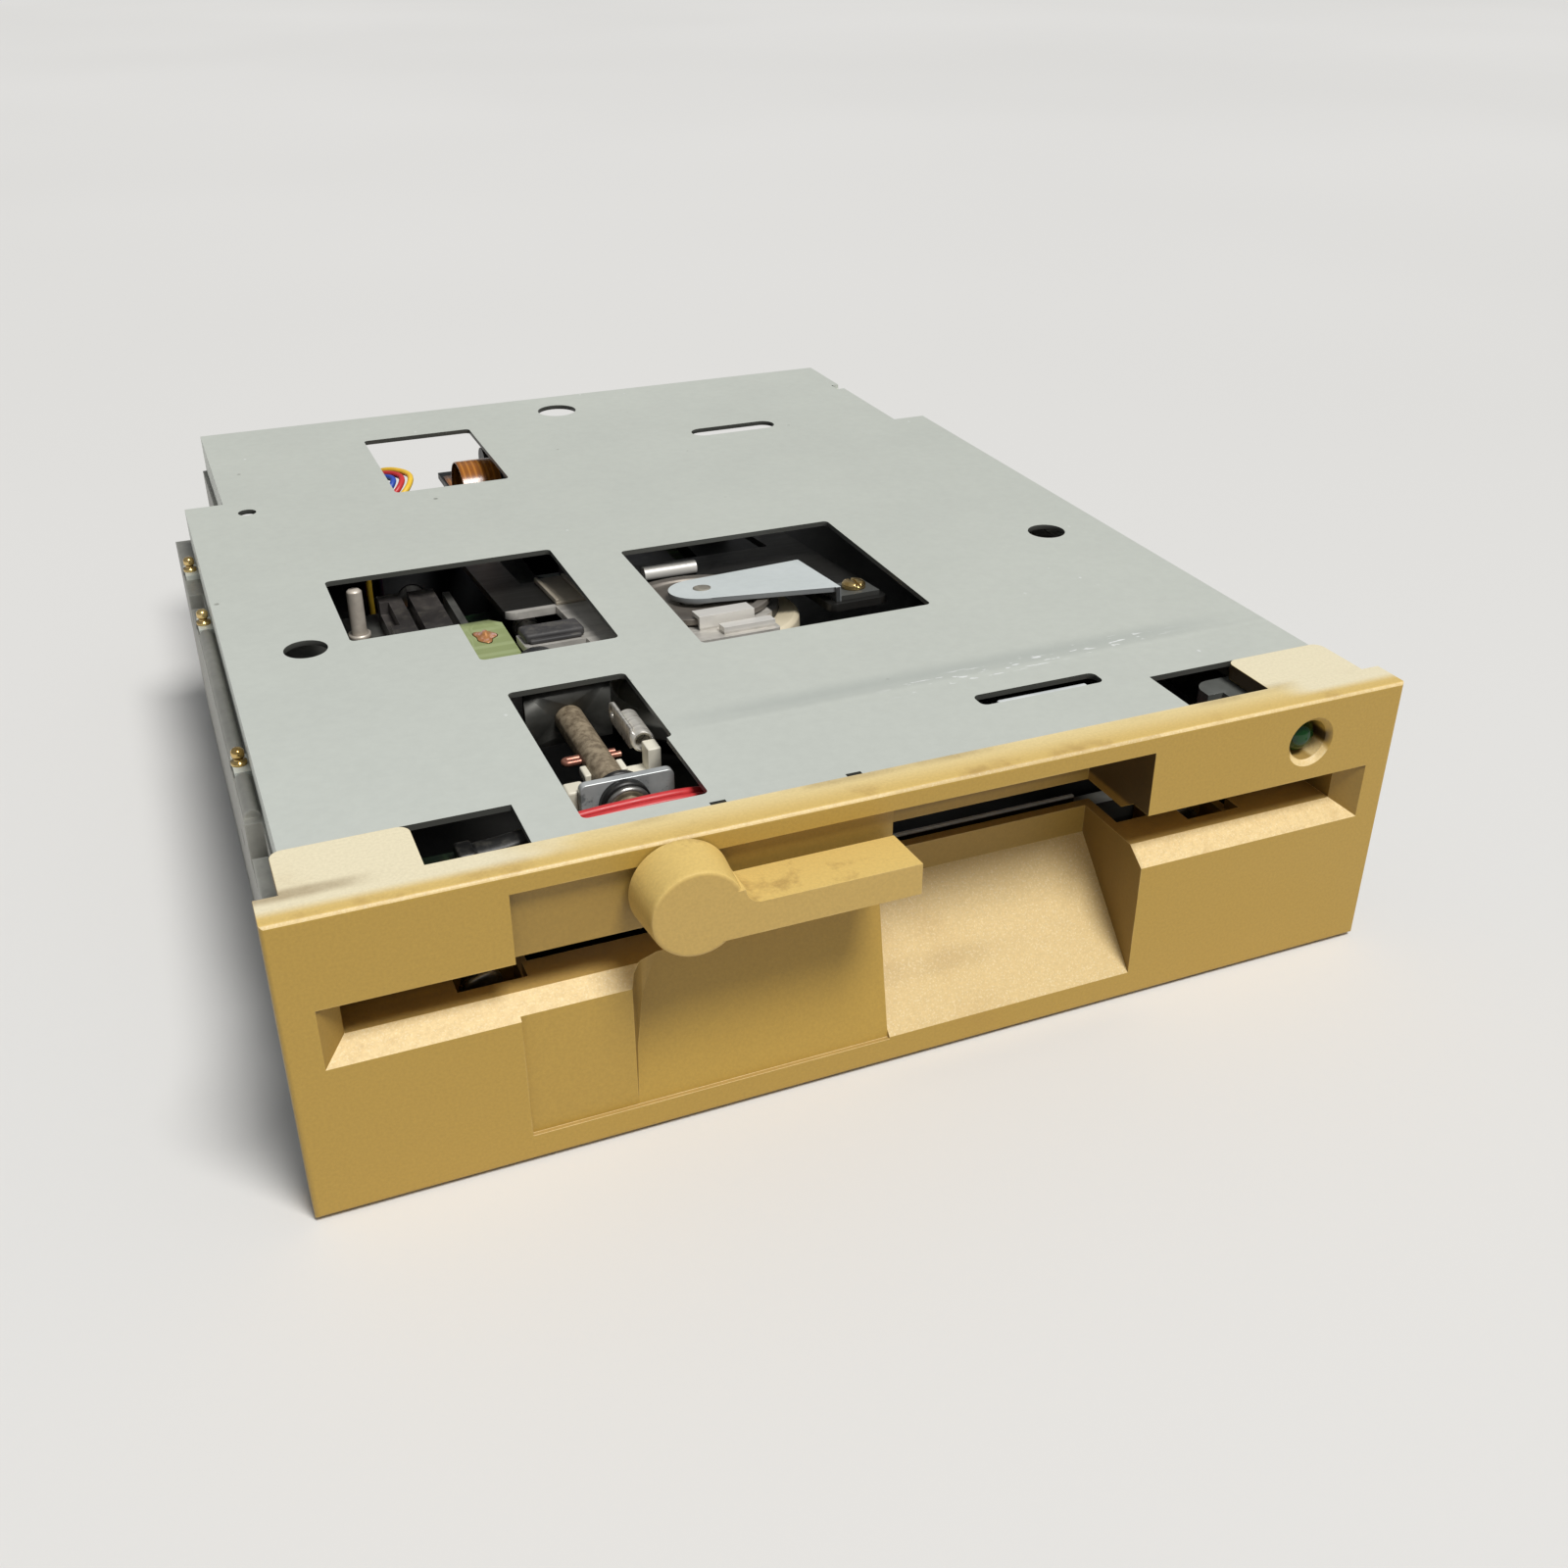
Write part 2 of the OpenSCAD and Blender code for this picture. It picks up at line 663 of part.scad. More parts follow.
module chassis() {
    difference() {
        union() {
            both_sides() {
                chassis_side();
                chassis_rear_side();
            }
            chassis_deck();
            chassis_front();
            chassis_carriers();
        }
        for (s = [-1, 1]) {
            bar_y(s * rod_x, rod_z, [rod_web_y[0] - 1, plate_back_y + 1], rod_d / 2 + run);
            bar_y(s * bezel_screw_x, bezel_screw_z, [front_wall_y - 1, front_wall_y + front_wall_t + 1],
                mount_hole_d / 2);
            bar_x(clamp_pivot_y, clamp_pivot_z, [min(s * post_x[0], s * post_x[1]) - 1,
                max(s * post_x[0], s * post_x[1]) + 1], pin_r);
            for (y = [board_post[1], board_post[2]])
                bar_z(s * board_post[0], y, [board_top - 1, board_top + 8], 1.2);
        }
        // The disk jacket's back end runs past the step in the side walls
        both_sides()
            span([rear_half - rear_wall_t - 1, guide_web_x[0]], [wall_back_y - wall_t - 1, jacket_back_y],
                [slot_z0 - 0.2, slot_z1 + 0.2]);
        // Room for the power socket where it stands under the deck
        span([socket_x[0] - gap, socket_x[1] + gap], [socket_y[0] - gap, drive_depth],
            [board_top, board_top + socket_in_h + 2 * socket_wall + gap]);
        bar_y(screw_x, screw_z, [rod_web_y[0] - 1, rod_web_y[1] + 4], screw_d / 2 - 1 + run);
        bar_y(screw_x, screw_z, [stepper_wall_y[0] - 1, stepper_wall_y[1] + 1], screw_d / 2 + 1.5);
    }
}

// Lever
knob_back = -0.25;
arm_back = 0.2;
shaft_back_y = 61.6;
shaft_front_y = -lever_reach + 2.6;
bracket_y = 20.3;

module lever_knob() {
    arm_x = lever_x + arm_len;
    end_slant = 0.35;
    blend = 2;
    difference() {
        union() {
            translate([lever_x, -lever_reach, lever_z])
                rotate([-90, 0, 0])
                    rotate_extrude()
                        polygon([[0, 0], [knob_r - flange_round, 0], [knob_r - 0.3 * flange_round, 0.3 * flange_round],
                            [knob_r, flange_round], [knob_r + knob_draft, knob_back + lever_reach],
                            [0, knob_back + lever_reach]]);
            translate([0, 0, lever_z - arm_h])
                linear_extrude(arm_h)
                    polygon([[lever_x, -lever_reach], [arm_x, -lever_reach], [arm_x - end_slant, arm_back],
                        [lever_x + knob_r, arm_back], [lever_x + knob_r, knob_back], [lever_x, knob_back]]);
            // A concave blend between the knob and the top of the arm
            along_y([-lever_reach, knob_back])
                difference() {
                    translate([lever_x + knob_r - 1.5, lever_z - 1])
                        square([1.5 + blend, 1 + blend]);
                    translate([lever_x + knob_r + blend, lever_z + blend])
                        circle(blend);
                }
            bar_y(lever_x, lever_z, [knob_back - eps, flange_t], boss_r);
        }
        bar_y(lever_x, lever_z, [shaft_front_y, flange_t + 1], shaft_r + run / 2);
    }
}

module lever_shaft() {
    difference() {
        bar_y(lever_x, lever_z, [shaft_front_y + run, shaft_back_y], shaft_r);
        span([lever_x - 5, lever_x + 5], [pin_y[0] - pin_wire_r - run, pin_y[1] + pin_wire_r + run],
            [lever_z - pin_wire_r - run, lever_z + pin_wire_r + run]);
    }
}

// Split pin of copper-plated wire through the shaft
pin_wire_r = 0.45;
pin_y = [32.4, 33.4];
pin_reach = [3.6, 3.4];

module lever_pin() {
    end_x = lever_x - pin_reach[0];
    for (y = pin_y)
        bar_x(y, lever_z, [end_x, lever_x + pin_reach[1]], pin_wire_r);
    // Its closed end
    span([end_x - 0.7, end_x + 0.4], [pin_y[0] - 0.3, pin_y[1] + 0.3], [lever_z - 0.3, lever_z + 0.3]);
}

// White crank saddled on the shaft, with a finger at its end
crank_y = [27.4, 30.2];
clip_x = lever_x + 5.9;
clip_z = lever_z + 2.4;
clip_r = 1.5;

module lever_crank() {
    finger_w = 1.8;
    low = lever_z - 3.4;
    difference() {
        union() {
            bar_y(lever_x, lever_z, crank_y, shaft_r + 0.9);
            span([lever_x, clip_x + clip_r], crank_y, [low, lever_z - 0.7]);
            span([clip_x + clip_r - finger_w, clip_x + clip_r], crank_y, [low, clip_z + 0.2]);
        }
        bar_y(lever_x, lever_z, [crank_y[0] - 1, crank_y[1] + 1], shaft_r + run / 2);
        span([lever_x - 4, lever_x + 3], [crank_y[0] - 1, crank_y[1] + 1], [lever_z + 0.6, lever_z + 4]);
    }
}

// Rolled steel clip on the crank's finger, with an eyed strap
module crank_clip() {
    roll_y = [crank_y[1] + 0.05, crank_y[1] + 6.8];
    strap_t = 0.5;
    strap_w = 2.6;
    eye = [roll_y[1] + 2, clip_z + 0.2];
    difference() {
        union() {
            bar_y(clip_x, clip_z, roll_y, clip_r);
            span([clip_x - clip_r, clip_x - clip_r + strap_t], [roll_y[0] + 1, eye[0]], [eye[1] - 1.5, eye[1] + 1.5]);
            bar_x(eye[0], eye[1], [clip_x - clip_r, clip_x - clip_r + strap_t], 1.5);
        }
        bar_y(clip_x, clip_z, [roll_y[0] - 1, roll_y[1] + 1], clip_r - strap_t);
        bar_x(eye[0], eye[1], [clip_x - clip_r - 1, clip_x - clip_r + strap_t + 1], 0.7);
    }
}

module shaft_washer() {
    difference() {
        bar_y(lever_x, lever_z, [bracket_y + sheet_t + 0.1, bracket_y + sheet_t + 0.9], shaft_r + 1.4);
        bar_y(lever_x, lever_z, [bracket_y, bracket_y + 5], shaft_r + run / 2);
    }
}

// Cam at the back end of the shaft, which holds the clamp carrier up while the lever is open
cam_y = [56.2, shaft_back_y];
cam_reach = 8.3;

module lift_cam() {
    lobe = [-2.4, 0.4];
    difference() {
        union() {
            bar_y(lever_x, lever_z, cam_y, shaft_r + 1.6);
            span([lever_x, lever_x + cam_reach - 1.4], cam_y, [lever_z + lobe[0], lever_z + lobe[1]]);
            bar_y(lever_x + cam_reach - 1.4, lever_z + (lobe[0] + lobe[1]) / 2, cam_y, (lobe[1] - lobe[0]) / 2);
        }
        bar_y(lever_x, lever_z, [cam_y[0] - 1, cam_y[1] + 1], shaft_r + run / 2);
    }
}

// Bracket on the bridge that carries the front of the shaft
bracket_span = [lever_x - 5.5, lever_x + 6.7];
bush_r = shaft_r + 0.65;

module lever_bracket() {
    top = lever_z + 3.3;
    foot_y = front_wall_y + 0.2;
    difference() {
        union() {
            along_y([bracket_y, bracket_y + sheet_t])
                round_rect(bracket_span, [bridge_top, top], 0.9);
            span(bracket_span, [foot_y, bracket_y + sheet_t], [bridge_top, bridge_top + sheet_t]);
        }
        bar_y(lever_x, lever_z, [bracket_y - 1, bracket_y + 3], bush_r + run / 2);
    }
}

module shaft_bush() {
    difference() {
        union() {
            bar_y(lever_x, lever_z, [bracket_y - 2.2, bracket_y + sheet_t], bush_r);
            bar_y(lever_x, lever_z, [bracket_y - 2.2, bracket_y - 1.5], bush_r + 0.4);
        }
        bar_y(lever_x, lever_z, [bracket_y - 4, bracket_y + 4], shaft_r + run);
    }
}

module bush_ring() {
    difference() {
        bar_y(lever_x, lever_z, [bracket_y - 1.4, bracket_y - 0.1], bush_r + 0.65);
        bar_y(lever_x, lever_z, [bracket_y - 3, bracket_y + 1], bush_r + run / 2);
    }
}

// Hanger under the plate that carries the back of the shaft
hanger_y = window_a_y[1] + 0.8;

module shaft_hanger() {
    foot_end = window_b_y[0] - 1.2;
    half = 6;
    difference() {
        union() {
            span([lever_x - half, lever_x + half], [hanger_y, hanger_y + sheet_t], [lever_z - 3.6, plate_low]);
            span([lever_x - half, lever_x + half], [hanger_y, foot_end], [plate_low - sheet_t, plate_low]);
        }
        bar_y(lever_x, lever_z, [hanger_y - 1, hanger_y + 3], shaft_r + run);
    }
}

// Tubes along a path, for the leads
function unit(v) = v / norm(v);
// Direction of a path at one of its points
function heading(path, i) =
    unit(path[min(i + 1, len(path) - 1)] - path[max(i - 1, 0)]);
// A ring of points square to the path
function tube_ring(path, i, r, sides, up) =
    let (f = heading(path, i), s = unit(cross(f, up)), u = cross(s, f))
    [for (k = [0 : sides - 1]) path[i] + r * (cos(360 * k / sides) * s + sin(360 * k / sides) * u)];

module tube(path, r, sides, up) {
    n = len(path);
    points = [for (i = [0 : n - 1], p = tube_ring(path, i, r, sides, up)) p];
    walls = [for (i = [0 : n - 2], k = [0 : sides - 1], t = [0, 1])
        let (a = i * sides + k, b = i * sides + (k + 1) % sides)
        t == 0 ? [a, b, a + sides] : [b, b + sides, a + sides]];
    caps = [for (k = [1 : sides - 2], t = [0, 1])
        t == 0 ? [0, k + 1, k]
            : [(n - 1) * sides, (n - 1) * sides + k, (n - 1) * sides + k + 1]];
    polyhedron(points = points, faces = concat(walls, caps));
}

// Indicator light
led_front = 1;
led_flange_y = flange_t + gap / 2;

module led_lens() {
    r = led_d / 2;
    translate([led_x, 0, lever_z])
        rotate([-90, 0, 0]) {
            translate([0, 0, led_front + r])
                sphere(r);
            translate([0, 0, led_front + r])
                cylinder(h = led_flange_y + 1 - led_front - r, r = r);
            translate([0, 0, led_flange_y])
                cylinder(h = 1, r = r + 0.5);
        }
}

holder_x = [led_x - 8.9, led_x + 4.7];

module led_holder() {
    z = [bridge_top + 0.6, bezel_top - tab_t - 0.4];
    difference() {
        translate([0, 0, z[0]])
            linear_extrude(z[1] - z[0])
                round_rect(holder_x, [flange_t + 0.05, front_wall_y - 1], 2.5);
        bar_y(led_x, lever_z, [flange_t - 1, led_flange_y + 1 + run], led_d / 2 + 0.5 + run);
        span([holder_x[0] - 1, holder_x[0] + 2.4], [flange_t + 3, flange_t + 5.6], [lever_z - 1, z[1] + 1]);
    }
}

// Two thin leads from the light to the front board, run over the lever's shaft
wire_r = 0.55;
wire_sides = 8;
bracket_x = [9.5 - wall_in, 26.9 - wall_in];
led_route = [[holder_x[0] - 0.05, 12.4, 33.2], [holder_x[0] - 2.4, 12.4, 33.2], [holder_x[0] - 6, 15, 33.2],
    [holder_x[0] - 11, 17.6, 33.2], [28, 17.8, 33], [14, 17.8, 33], [0, 17.8, 33.2], [-9, 17.4, 34],
    [-15, 16.2, 35.8], [-20, 14.8, 37.6], [-24, 14.1, 38.4], [-30, 13.9, 38.5], [-36, 13.8, 38.3],
    [-42, 13.7, 37.7], [-46, 13.6, 37.2], [bracket_x[0] + 11, 13.6, 37], [bracket_x[0] + 9.9, 13.6, 36.6],
    [bracket_x[0] + 9.6, 13.6, 36.1], [bracket_x[0] + 9.6, 13.6, 35.52]];
led_route_step = [0, -1.5, 0];

module led_wires() {
    for (i = [0, 1])
        tube([for (p = led_route) p + i * led_route_step], wire_r, wire_sides, [0, 0.2, 1]);
}

// Sensor board behind the left front corner, on its bracket
front_board_z = 33.9;

module board_bracket() {
    span(bracket_x, [flange_t + 1.3, front_wall_y + 1.4], [front_board_z - sheet_t, front_board_z]);
    span(bracket_x, [front_wall_y + 0.2, front_wall_y + 1.4], [bridge_top, front_board_z]);
}

module front_board() {
    translate([0, 0, front_board_z])
        linear_extrude(board_t)
            difference() {
                translate([bracket_x[0] + 1, flange_t + 2])
                    square([11.8, 8.6]);
                translate([bracket_x[0] + 12.8, flange_t + 2])
                    rotate(45)
                        square(2, center = true);
            }
}

// Disk guides, channels for the disk's edges
guide_y = [front_wall_y + bridge_w + gap, wall_back_y - wall_t - gap];
guide_web_x = [slot_w / 2 + 0.2, wall_in - gap];
guide_low_in = slot_w / 2 - 4.5;
guide_high_in = slot_w / 2 - 7.5;
guide_top = slot_z1 + 2;
guide_boss_r = 4.6;
guide_boss_top = 35.6;

module disk_guide() {
    lead = 3;
    difference() {
        union() {
            along_y(guide_y)
                polygon([[guide_low_in, deck_top], [guide_web_x[1], deck_top], [guide_web_x[1], guide_top],
                    [guide_high_in, guide_top], [guide_high_in, slot_z1 + 0.1], [guide_web_x[0], slot_z1 + 0.1],
                    [guide_web_x[0], slot_z0 - 0.1], [guide_low_in, slot_z0 - 0.1]]);
            bar_z(access_hole[0], access_hole[1], [slot_z1 + 0.1, guide_boss_top], guide_boss_r);
        }
        bar_z(access_hole[0], access_hole[1], [slot_z1 - 1, guide_boss_top + 1], 1.5);
        // Lead-in at the front end of the lower flange
        translate([guide_low_in - eps, guide_y[0] - eps, slot_z0 - 0.1])
            along_x([0, guide_web_x[0] - guide_low_in])
                polygon([[0, 0], [lead, 0], [0, -1]]);
    }
}

module disk_guide_right() {
    disk_guide();
}

module disk_guide_left() {
    mirror([1, 0, 0])
        disk_guide();
}

// Screws in the guides' bosses, under the holes in the plate
module guide_screws() {
    both_sides()
        translate([access_hole[0], access_hole[1], 0])
            difference() {
                rotate_extrude()
                    polygon([[0, guide_top + 1], [1.45, guide_top + 1], [1.45, guide_boss_top],
                        [2.8, guide_boss_top], [2.8, guide_boss_top + 1], [2.3, guide_boss_top + 1.6],
                        [0, guide_boss_top + 1.8]]);
                translate([0, 0, guide_boss_top + 1.8])
                    cube([0.7, 6, 1.4], center = true);
            }
}

// Shelf over the left guide, with the index sensor
shelf_x = [2.5 - wall_in, -33.6];
shelf_y = [62, 101];
shelf_z = guide_top;
index_post_at = [-49.4, 92.6];
index_block_x = [-45.6, -36.6];
index_block_y = [81.4, 97];
index_board_x = [-40, -29.7];
index_board_y = [63, index_block_y[0] - 0.8];
index_block_top = shelf_z + sheet_t + 4.6;

module sensor_shelf() {
    difference() {
        union() {
            translate([0, 0, shelf_z])
                linear_extrude(sheet_t)
                    round_rect(shelf_x, shelf_y, 2);
            span([shelf_x[1] - sheet_t, shelf_x[1]], [index_block_y[0] + 3, shelf_y[1] - 2],
                [shelf_z, shelf_z + 4]);
        }
        bar_z(-access_hole[0], access_hole[1], [shelf_z - 1, shelf_z + 3], guide_boss_r + gap);
        bar_z(index_post_at[0], index_post_at[1], [shelf_z - 1, shelf_z + 3], 1.2);
    }
}

module index_post() {
    translate([index_post_at[0], index_post_at[1], 0])
        rotate_extrude()
            polygon([[0, shelf_z], [1.18, shelf_z], [1.18, shelf_z + sheet_t], [1.7, shelf_z + sheet_t],
                [1.7, shelf_z + sheet_t + 0.8], [1.2, shelf_z + sheet_t + 0.8], [1.2, plate_low - 1.6],
                [0.8, plate_low - 1.2], [0, plate_low - 1.2]]);
}

module index_holder() {
    z = shelf_z + sheet_t;
    difference() {
        union() {
            span(index_block_x, index_block_y, [z, index_block_top]);
            span([index_board_x[0], -34.5], [index_board_y[0] + 2, index_block_y[0] + eps], [z, z + 3.6]);
        }
        span([index_block_x[0] + 3.6, index_block_x[0] + 4.8], [index_block_y[0] - 1, index_block_y[1] + 1],
            [index_block_top - 2.6, index_block_top + 1]);
        span([index_block_x[0] - 1, index_block_x[0] + 1.4], [index_block_y[0] + 3, index_block_y[1] - 3],
            [index_block_top - 2, index_block_top + 1]);
    }
}

module index_board() {
    z = shelf_z + sheet_t + 3.6;
    translate([0, 0, z])
        linear_extrude(1.2)
            difference() {
                round_rect(index_board_x, index_board_y, 1);
                translate([index_board_x[1], index_board_y[1]])
                    rotate(45)
                        square(2.4, center = true);
            }
}

module write_sensor() {
    x = [0.4 - guide_low_in, 9 - guide_low_in];
    y = [33, 42];
    difference() {
        span(x, y, [deck_top, slot_z0 - 0.2]);
        span([x[0] + 2.5, x[1] - 2.5], [y[0] + 2, y[1] - 2], [slot_z0 - 2, slot_z0 + 1]);
    }
}

// Clamp carrier, drawn closed and swung open about its pivot
carrier_z = clamp_pivot_z - 3;
carrier_top = carrier_z + sheet_t;
leg_x = [22, 28];
ear_r = 3.4;
ear_tab_x = [lever_x + 5.2, lever_x + 8.7];
neck_r = 9;
leaf_t = 0.8;
leaf_z = carrier_top + 1.6;
leaf_top = leaf_z + leaf_t;
leaf_edge_x = 20.3;
leaf_screw_x = 24;
leaf_screw_y = spindle_y - 6.6;
leaf_pivot_x = 1;
cap_r = neck_r + 2.6;

module swung_open() {
    translate([0, clamp_pivot_y, clamp_pivot_z])
        rotate([-clamp_deg, 0, 0])
            translate([0, -clamp_pivot_y, -clamp_pivot_z])
                children();
}

module carrier_outline() {
    neck_y = spindle_y + 25;
    left_x = [-20, -9];
    difference() {
        union() {
            round_rect(left_x, [spindle_y - 17, neck_y], 1.5);
            round_rect([leaf_edge_x - 2.3, leg_x[1]], [spindle_y - 11, neck_y], 1.5);
            round_rect([-leg_x[1], leg_x[1]], [spindle_y + 10, neck_y], 2);
            // Seat of the front tabs, and the ring that the hub hangs in
            round_rect([left_x[1] - 4, 7.4], [spindle_y - 17, spindle_y - 9.5], 1);
            translate([0, spindle_y])
                circle(neck_r + 3.8);
            for (s = [-1, 1])
                translate([s * (leg_x[0] + leg_x[1]) / 2 - (leg_x[1] - leg_x[0]) / 2, neck_y - 3])
                    square([leg_x[1] - leg_x[0], clamp_pivot_y + 2 - neck_y + 3]);
            translate([ear_tab_x[0], cam_y[0] - 0.3])
                square([left_x[0] - ear_tab_x[0] + 3, cam_y[1] - cam_y[0] + 0.6]);
            // Side tab under the felt pad
            round_rect([index_board_x[1] + 0.5, left_x[0] + 3], [spindle_y - 7.2, spindle_y - 0.8], 0.6);
        }
        translate([0, spindle_y])
            circle(neck_r + 1.2);
    }
}

// Tabs bent up from the carrier, one of them over the hub's rim
module carrier_tabs() {
    lip_z = hub_top + 0.25;
    lip_t = 0.6;
    roll_r = 1.2;
    rim_y = spindle_y - cap_r - 1;
    span([-4, 4.8], [rim_y, rim_y + lip_t], [carrier_top - eps, lip_z + lip_t]);
    span([-4, 4.8], [rim_y, rim_y + 3.4], [lip_z, lip_z + lip_t]);
    span([-1.4, 6.8], [rim_y - 3.4, rim_y - 1.2], [carrier_top - eps, carrier_top + 1.1]);
    bar_x(spindle_y + 16, carrier_top + roll_r - 0.1, [-3.5, 5.5], roll_r);
}

module clamp_carrier() {
    swung_open()
        difference() {
            union() {
                translate([0, 0, carrier_z])
                    linear_extrude(sheet_t)
                        carrier_outline();
                both_sides() {
                    bar_x(clamp_pivot_y, clamp_pivot_z, [leg_x[1] - sheet_t, leg_x[1]], ear_r);
                    span([leg_x[1] - sheet_t, leg_x[1]], [clamp_pivot_y - ear_r - 12, clamp_pivot_y + 2],
                        [carrier_z, clamp_pivot_z - 0.6]);
                }
                carrier_tabs();
            }
            both_sides()
                bar_x(clamp_pivot_y, clamp_pivot_z, [leg_x[1] - 3, leg_x[1] + 1], pin_r + run);
            bar_z(leaf_screw_x, leaf_screw_y, [carrier_z - 1, carrier_top + 1], 1.2);
        }
}

// Grey leaf that presses on the middle of the hub
module clamp_leaf() {
    foot_end = leg_x[1] - 1;
    round_r = 5.3;
    half_y = [-10, 7];
    swung_open()
        difference() {
            union() {
                translate([0, 0, leaf_z])
                    linear_extrude(leaf_t) {
                        translate([leaf_pivot_x, spindle_y])
                            circle(round_r);
                        polygon([[leaf_pivot_x, spindle_y - round_r], [leaf_edge_x, spindle_y + half_y[0]],
                            [leaf_edge_x, spindle_y + half_y[1]], [leaf_pivot_x, spindle_y + round_r]]);
                    }
                span([leaf_edge_x - leaf_t, leaf_edge_x], [spindle_y + half_y[0], spindle_y + half_y[1]],
                    [carrier_top, leaf_top]);
                span([leaf_edge_x - eps, foot_end], [leaf_screw_y - 3.2, leaf_screw_y + 3.2],
                    [carrier_top, carrier_top + leaf_t]);
            }
            bar_z(leaf_screw_x, leaf_screw_y, [carrier_top - 1, leaf_top], 1.25);
            bar_z(leaf_pivot_x, spindle_y, [leaf_z - 1, leaf_top + 1], 0.8);
        }
}

module leaf_rivet() {
    swung_open() {
        bar_z(leaf_pivot_x, spindle_y, [leaf_z, leaf_top + eps], 0.8 - run);
        bar_z(leaf_pivot_x, spindle_y, [leaf_top, leaf_top + 0.15], 1.4);
    }
}

module clamp_screw() {
    foot_top = carrier_top + leaf_t;
    swung_open()
        translate([leaf_screw_x, leaf_screw_y, 0])
            difference() {
                rotate_extrude()
                    polygon([[0, carrier_z], [1.18, carrier_z], [1.18, foot_top], [1.9, foot_top],
                        [1.9, foot_top + 0.7], [1.5, foot_top + 1.1], [0, foot_top + 1.2]]);
                translate([0, 0, foot_top + 1.2])
                    cube([0.6, 5, 1.1], center = true);
            }
}

module pivot_pins() {
    both_sides()
        bar_x(clamp_pivot_y, clamp_pivot_z, [leg_x[1] - sheet_t - 0.8, post_x[1]], pin_r - 0.01);
}

// Cream hub that centres the disk on the spindle
hub_low = carrier_z - 0.4;
hub_seat = hub_low - 2.7;
hub_nose = hub_seat - 2.5;
hub_top = carrier_top + 1.3;
nose_r = [hub_rim_r - 0.4, hub_rim_r + 0.6];

module clamp_hub() {
    swung_open()
        translate([0, spindle_y, 0])
            rotate_extrude()
                polygon([[0, hub_low - 0.6], [nose_r[0] - 2.4, hub_low - 0.6], [nose_r[0] - 2.4, hub_nose],
                    [nose_r[0], hub_nose], [nose_r[1], hub_seat], [hub_flange_r, hub_seat],
                    [hub_flange_r, hub_low - 0.6], [hub_flange_r - 0.6, hub_low], [neck_r, hub_low],
                    [neck_r, carrier_top + 0.3], [cap_r, carrier_top + 0.3], [cap_r, hub_top],
                    [cap_r - 1.6, hub_top], [cap_r - 2, hub_top - 0.5], [3, hub_top - 0.5],
                    [3, hub_top - 1], [0, hub_top - 1]]);
}

module hub_button() {
    swung_open()
        translate([0, spindle_y, 0])
            rotate_extrude()
                polygon([[0, hub_top - 1], [2.6, hub_top - 1], [2.6, hub_top - 0.4], [1.2, leaf_z - run],
                    [0, leaf_z - run]]);
}

// Spindle and its flat motor under the deck
spindle_top = slot_z0 - 0.2;
spindle_low = deck_top + 1.6;
spindle_shaft_r = 2.47;
rotor_z = 6.8;
rotor_t = 1.2;
magnet_top = rotor_z + rotor_t + 2.2;
motor_board_t = 1.6;
coil_z = [magnet_top + 0.6, deck_z - motor_board_t];

module spindle_hub() {
    floor_z = hub_nose - 0.5;
    translate([0, spindle_y, 0])
        difference() {
            rotate_extrude()
                polygon([[0, spindle_low], [spindle_r - 1.5, spindle_low], [spindle_r, spindle_low + 1],
                    [spindle_r, spindle_top - 0.3], [spindle_r - 0.3, spindle_top],
                    [nose_r[1] + 0.5, spindle_top], [nose_r[0] + 0.6, floor_z], [0, floor_z]]);
            cylinder(h = 40, r = spindle_shaft_r + 0.01);
        }
}

module spindle_shaft() {
    translate([0, spindle_y, 0])
        translate([0, 0, rotor_z - 0.8])
            cylinder(h = hub_nose - 0.6 - rotor_z + 0.8, r = spindle_shaft_r);
}

module bearing_housing() {
    translate([0, spindle_y, 0])
        difference() {
            union() {
                translate([0, 0, deck_top])
                    cylinder(h = 1.2, r = 13);
                translate([0, 0, magnet_top])
                    cylinder(h = deck_top - magnet_top + 1, r = housing_tube_r);
            }
            translate([0, 0, magnet_top - 1])
                cylinder(h = 20, r = 5);
            for (a = [0 : 120 : 240])
                rotate(a)
                    translate([10.3, 0, deck_top - 1])
                        cylinder(h = 4, r = 1.1);
        }
}

module spindle_bearings() {
    bearing_h = 3.6;
    translate([0, spindle_y, 0])
        for (z = [magnet_top + 0.2, deck_top + 1 - bearing_h])
            translate([0, 0, z])
                difference() {
                    cylinder(h = bearing_h, r = 5 - 0.01);
                    translate([0, 0, -1])
                        cylinder(h = bearing_h + 2, r = spindle_shaft_r + 0.03);
                }
}

module rotor() {
    rim = 1.2;
    translate([0, spindle_y, 0])
        rotate_extrude()
            polygon([[spindle_shaft_r + 0.01, rotor_z - 0.6], [5, rotor_z - 0.6], [6, rotor_z],
                [rotor_r - 0.6, rotor_z], [rotor_r, rotor_z + 0.6], [rotor_r, magnet_top + 0.4],
                [rotor_r - rim, magnet_top + 0.4], [rotor_r - rim, rotor_z + rotor_t], [5, rotor_z + rotor_t],
                [5, magnet_top - 0.6], [spindle_shaft_r + 0.01, magnet_top - 0.6]]);
}

module rotor_magnet() {
    translate([0, spindle_y, rotor_z + rotor_t])
        difference() {
            cylinder(h = 2.2, r = rotor_r - 1.3);
            translate([0, 0, -1])
                cylinder(h = 5, r = 13);
        }
}

module motor_board() {
    translate([0, 0, deck_z - motor_board_t])
        linear_extrude(motor_board_t)
            difference() {
                round_rect([-34, 34], [spindle_y - 33, spindle_y + 30], 4);
                translate([0, spindle_y])
                    circle(housing_tube_r + gap);
            }
}

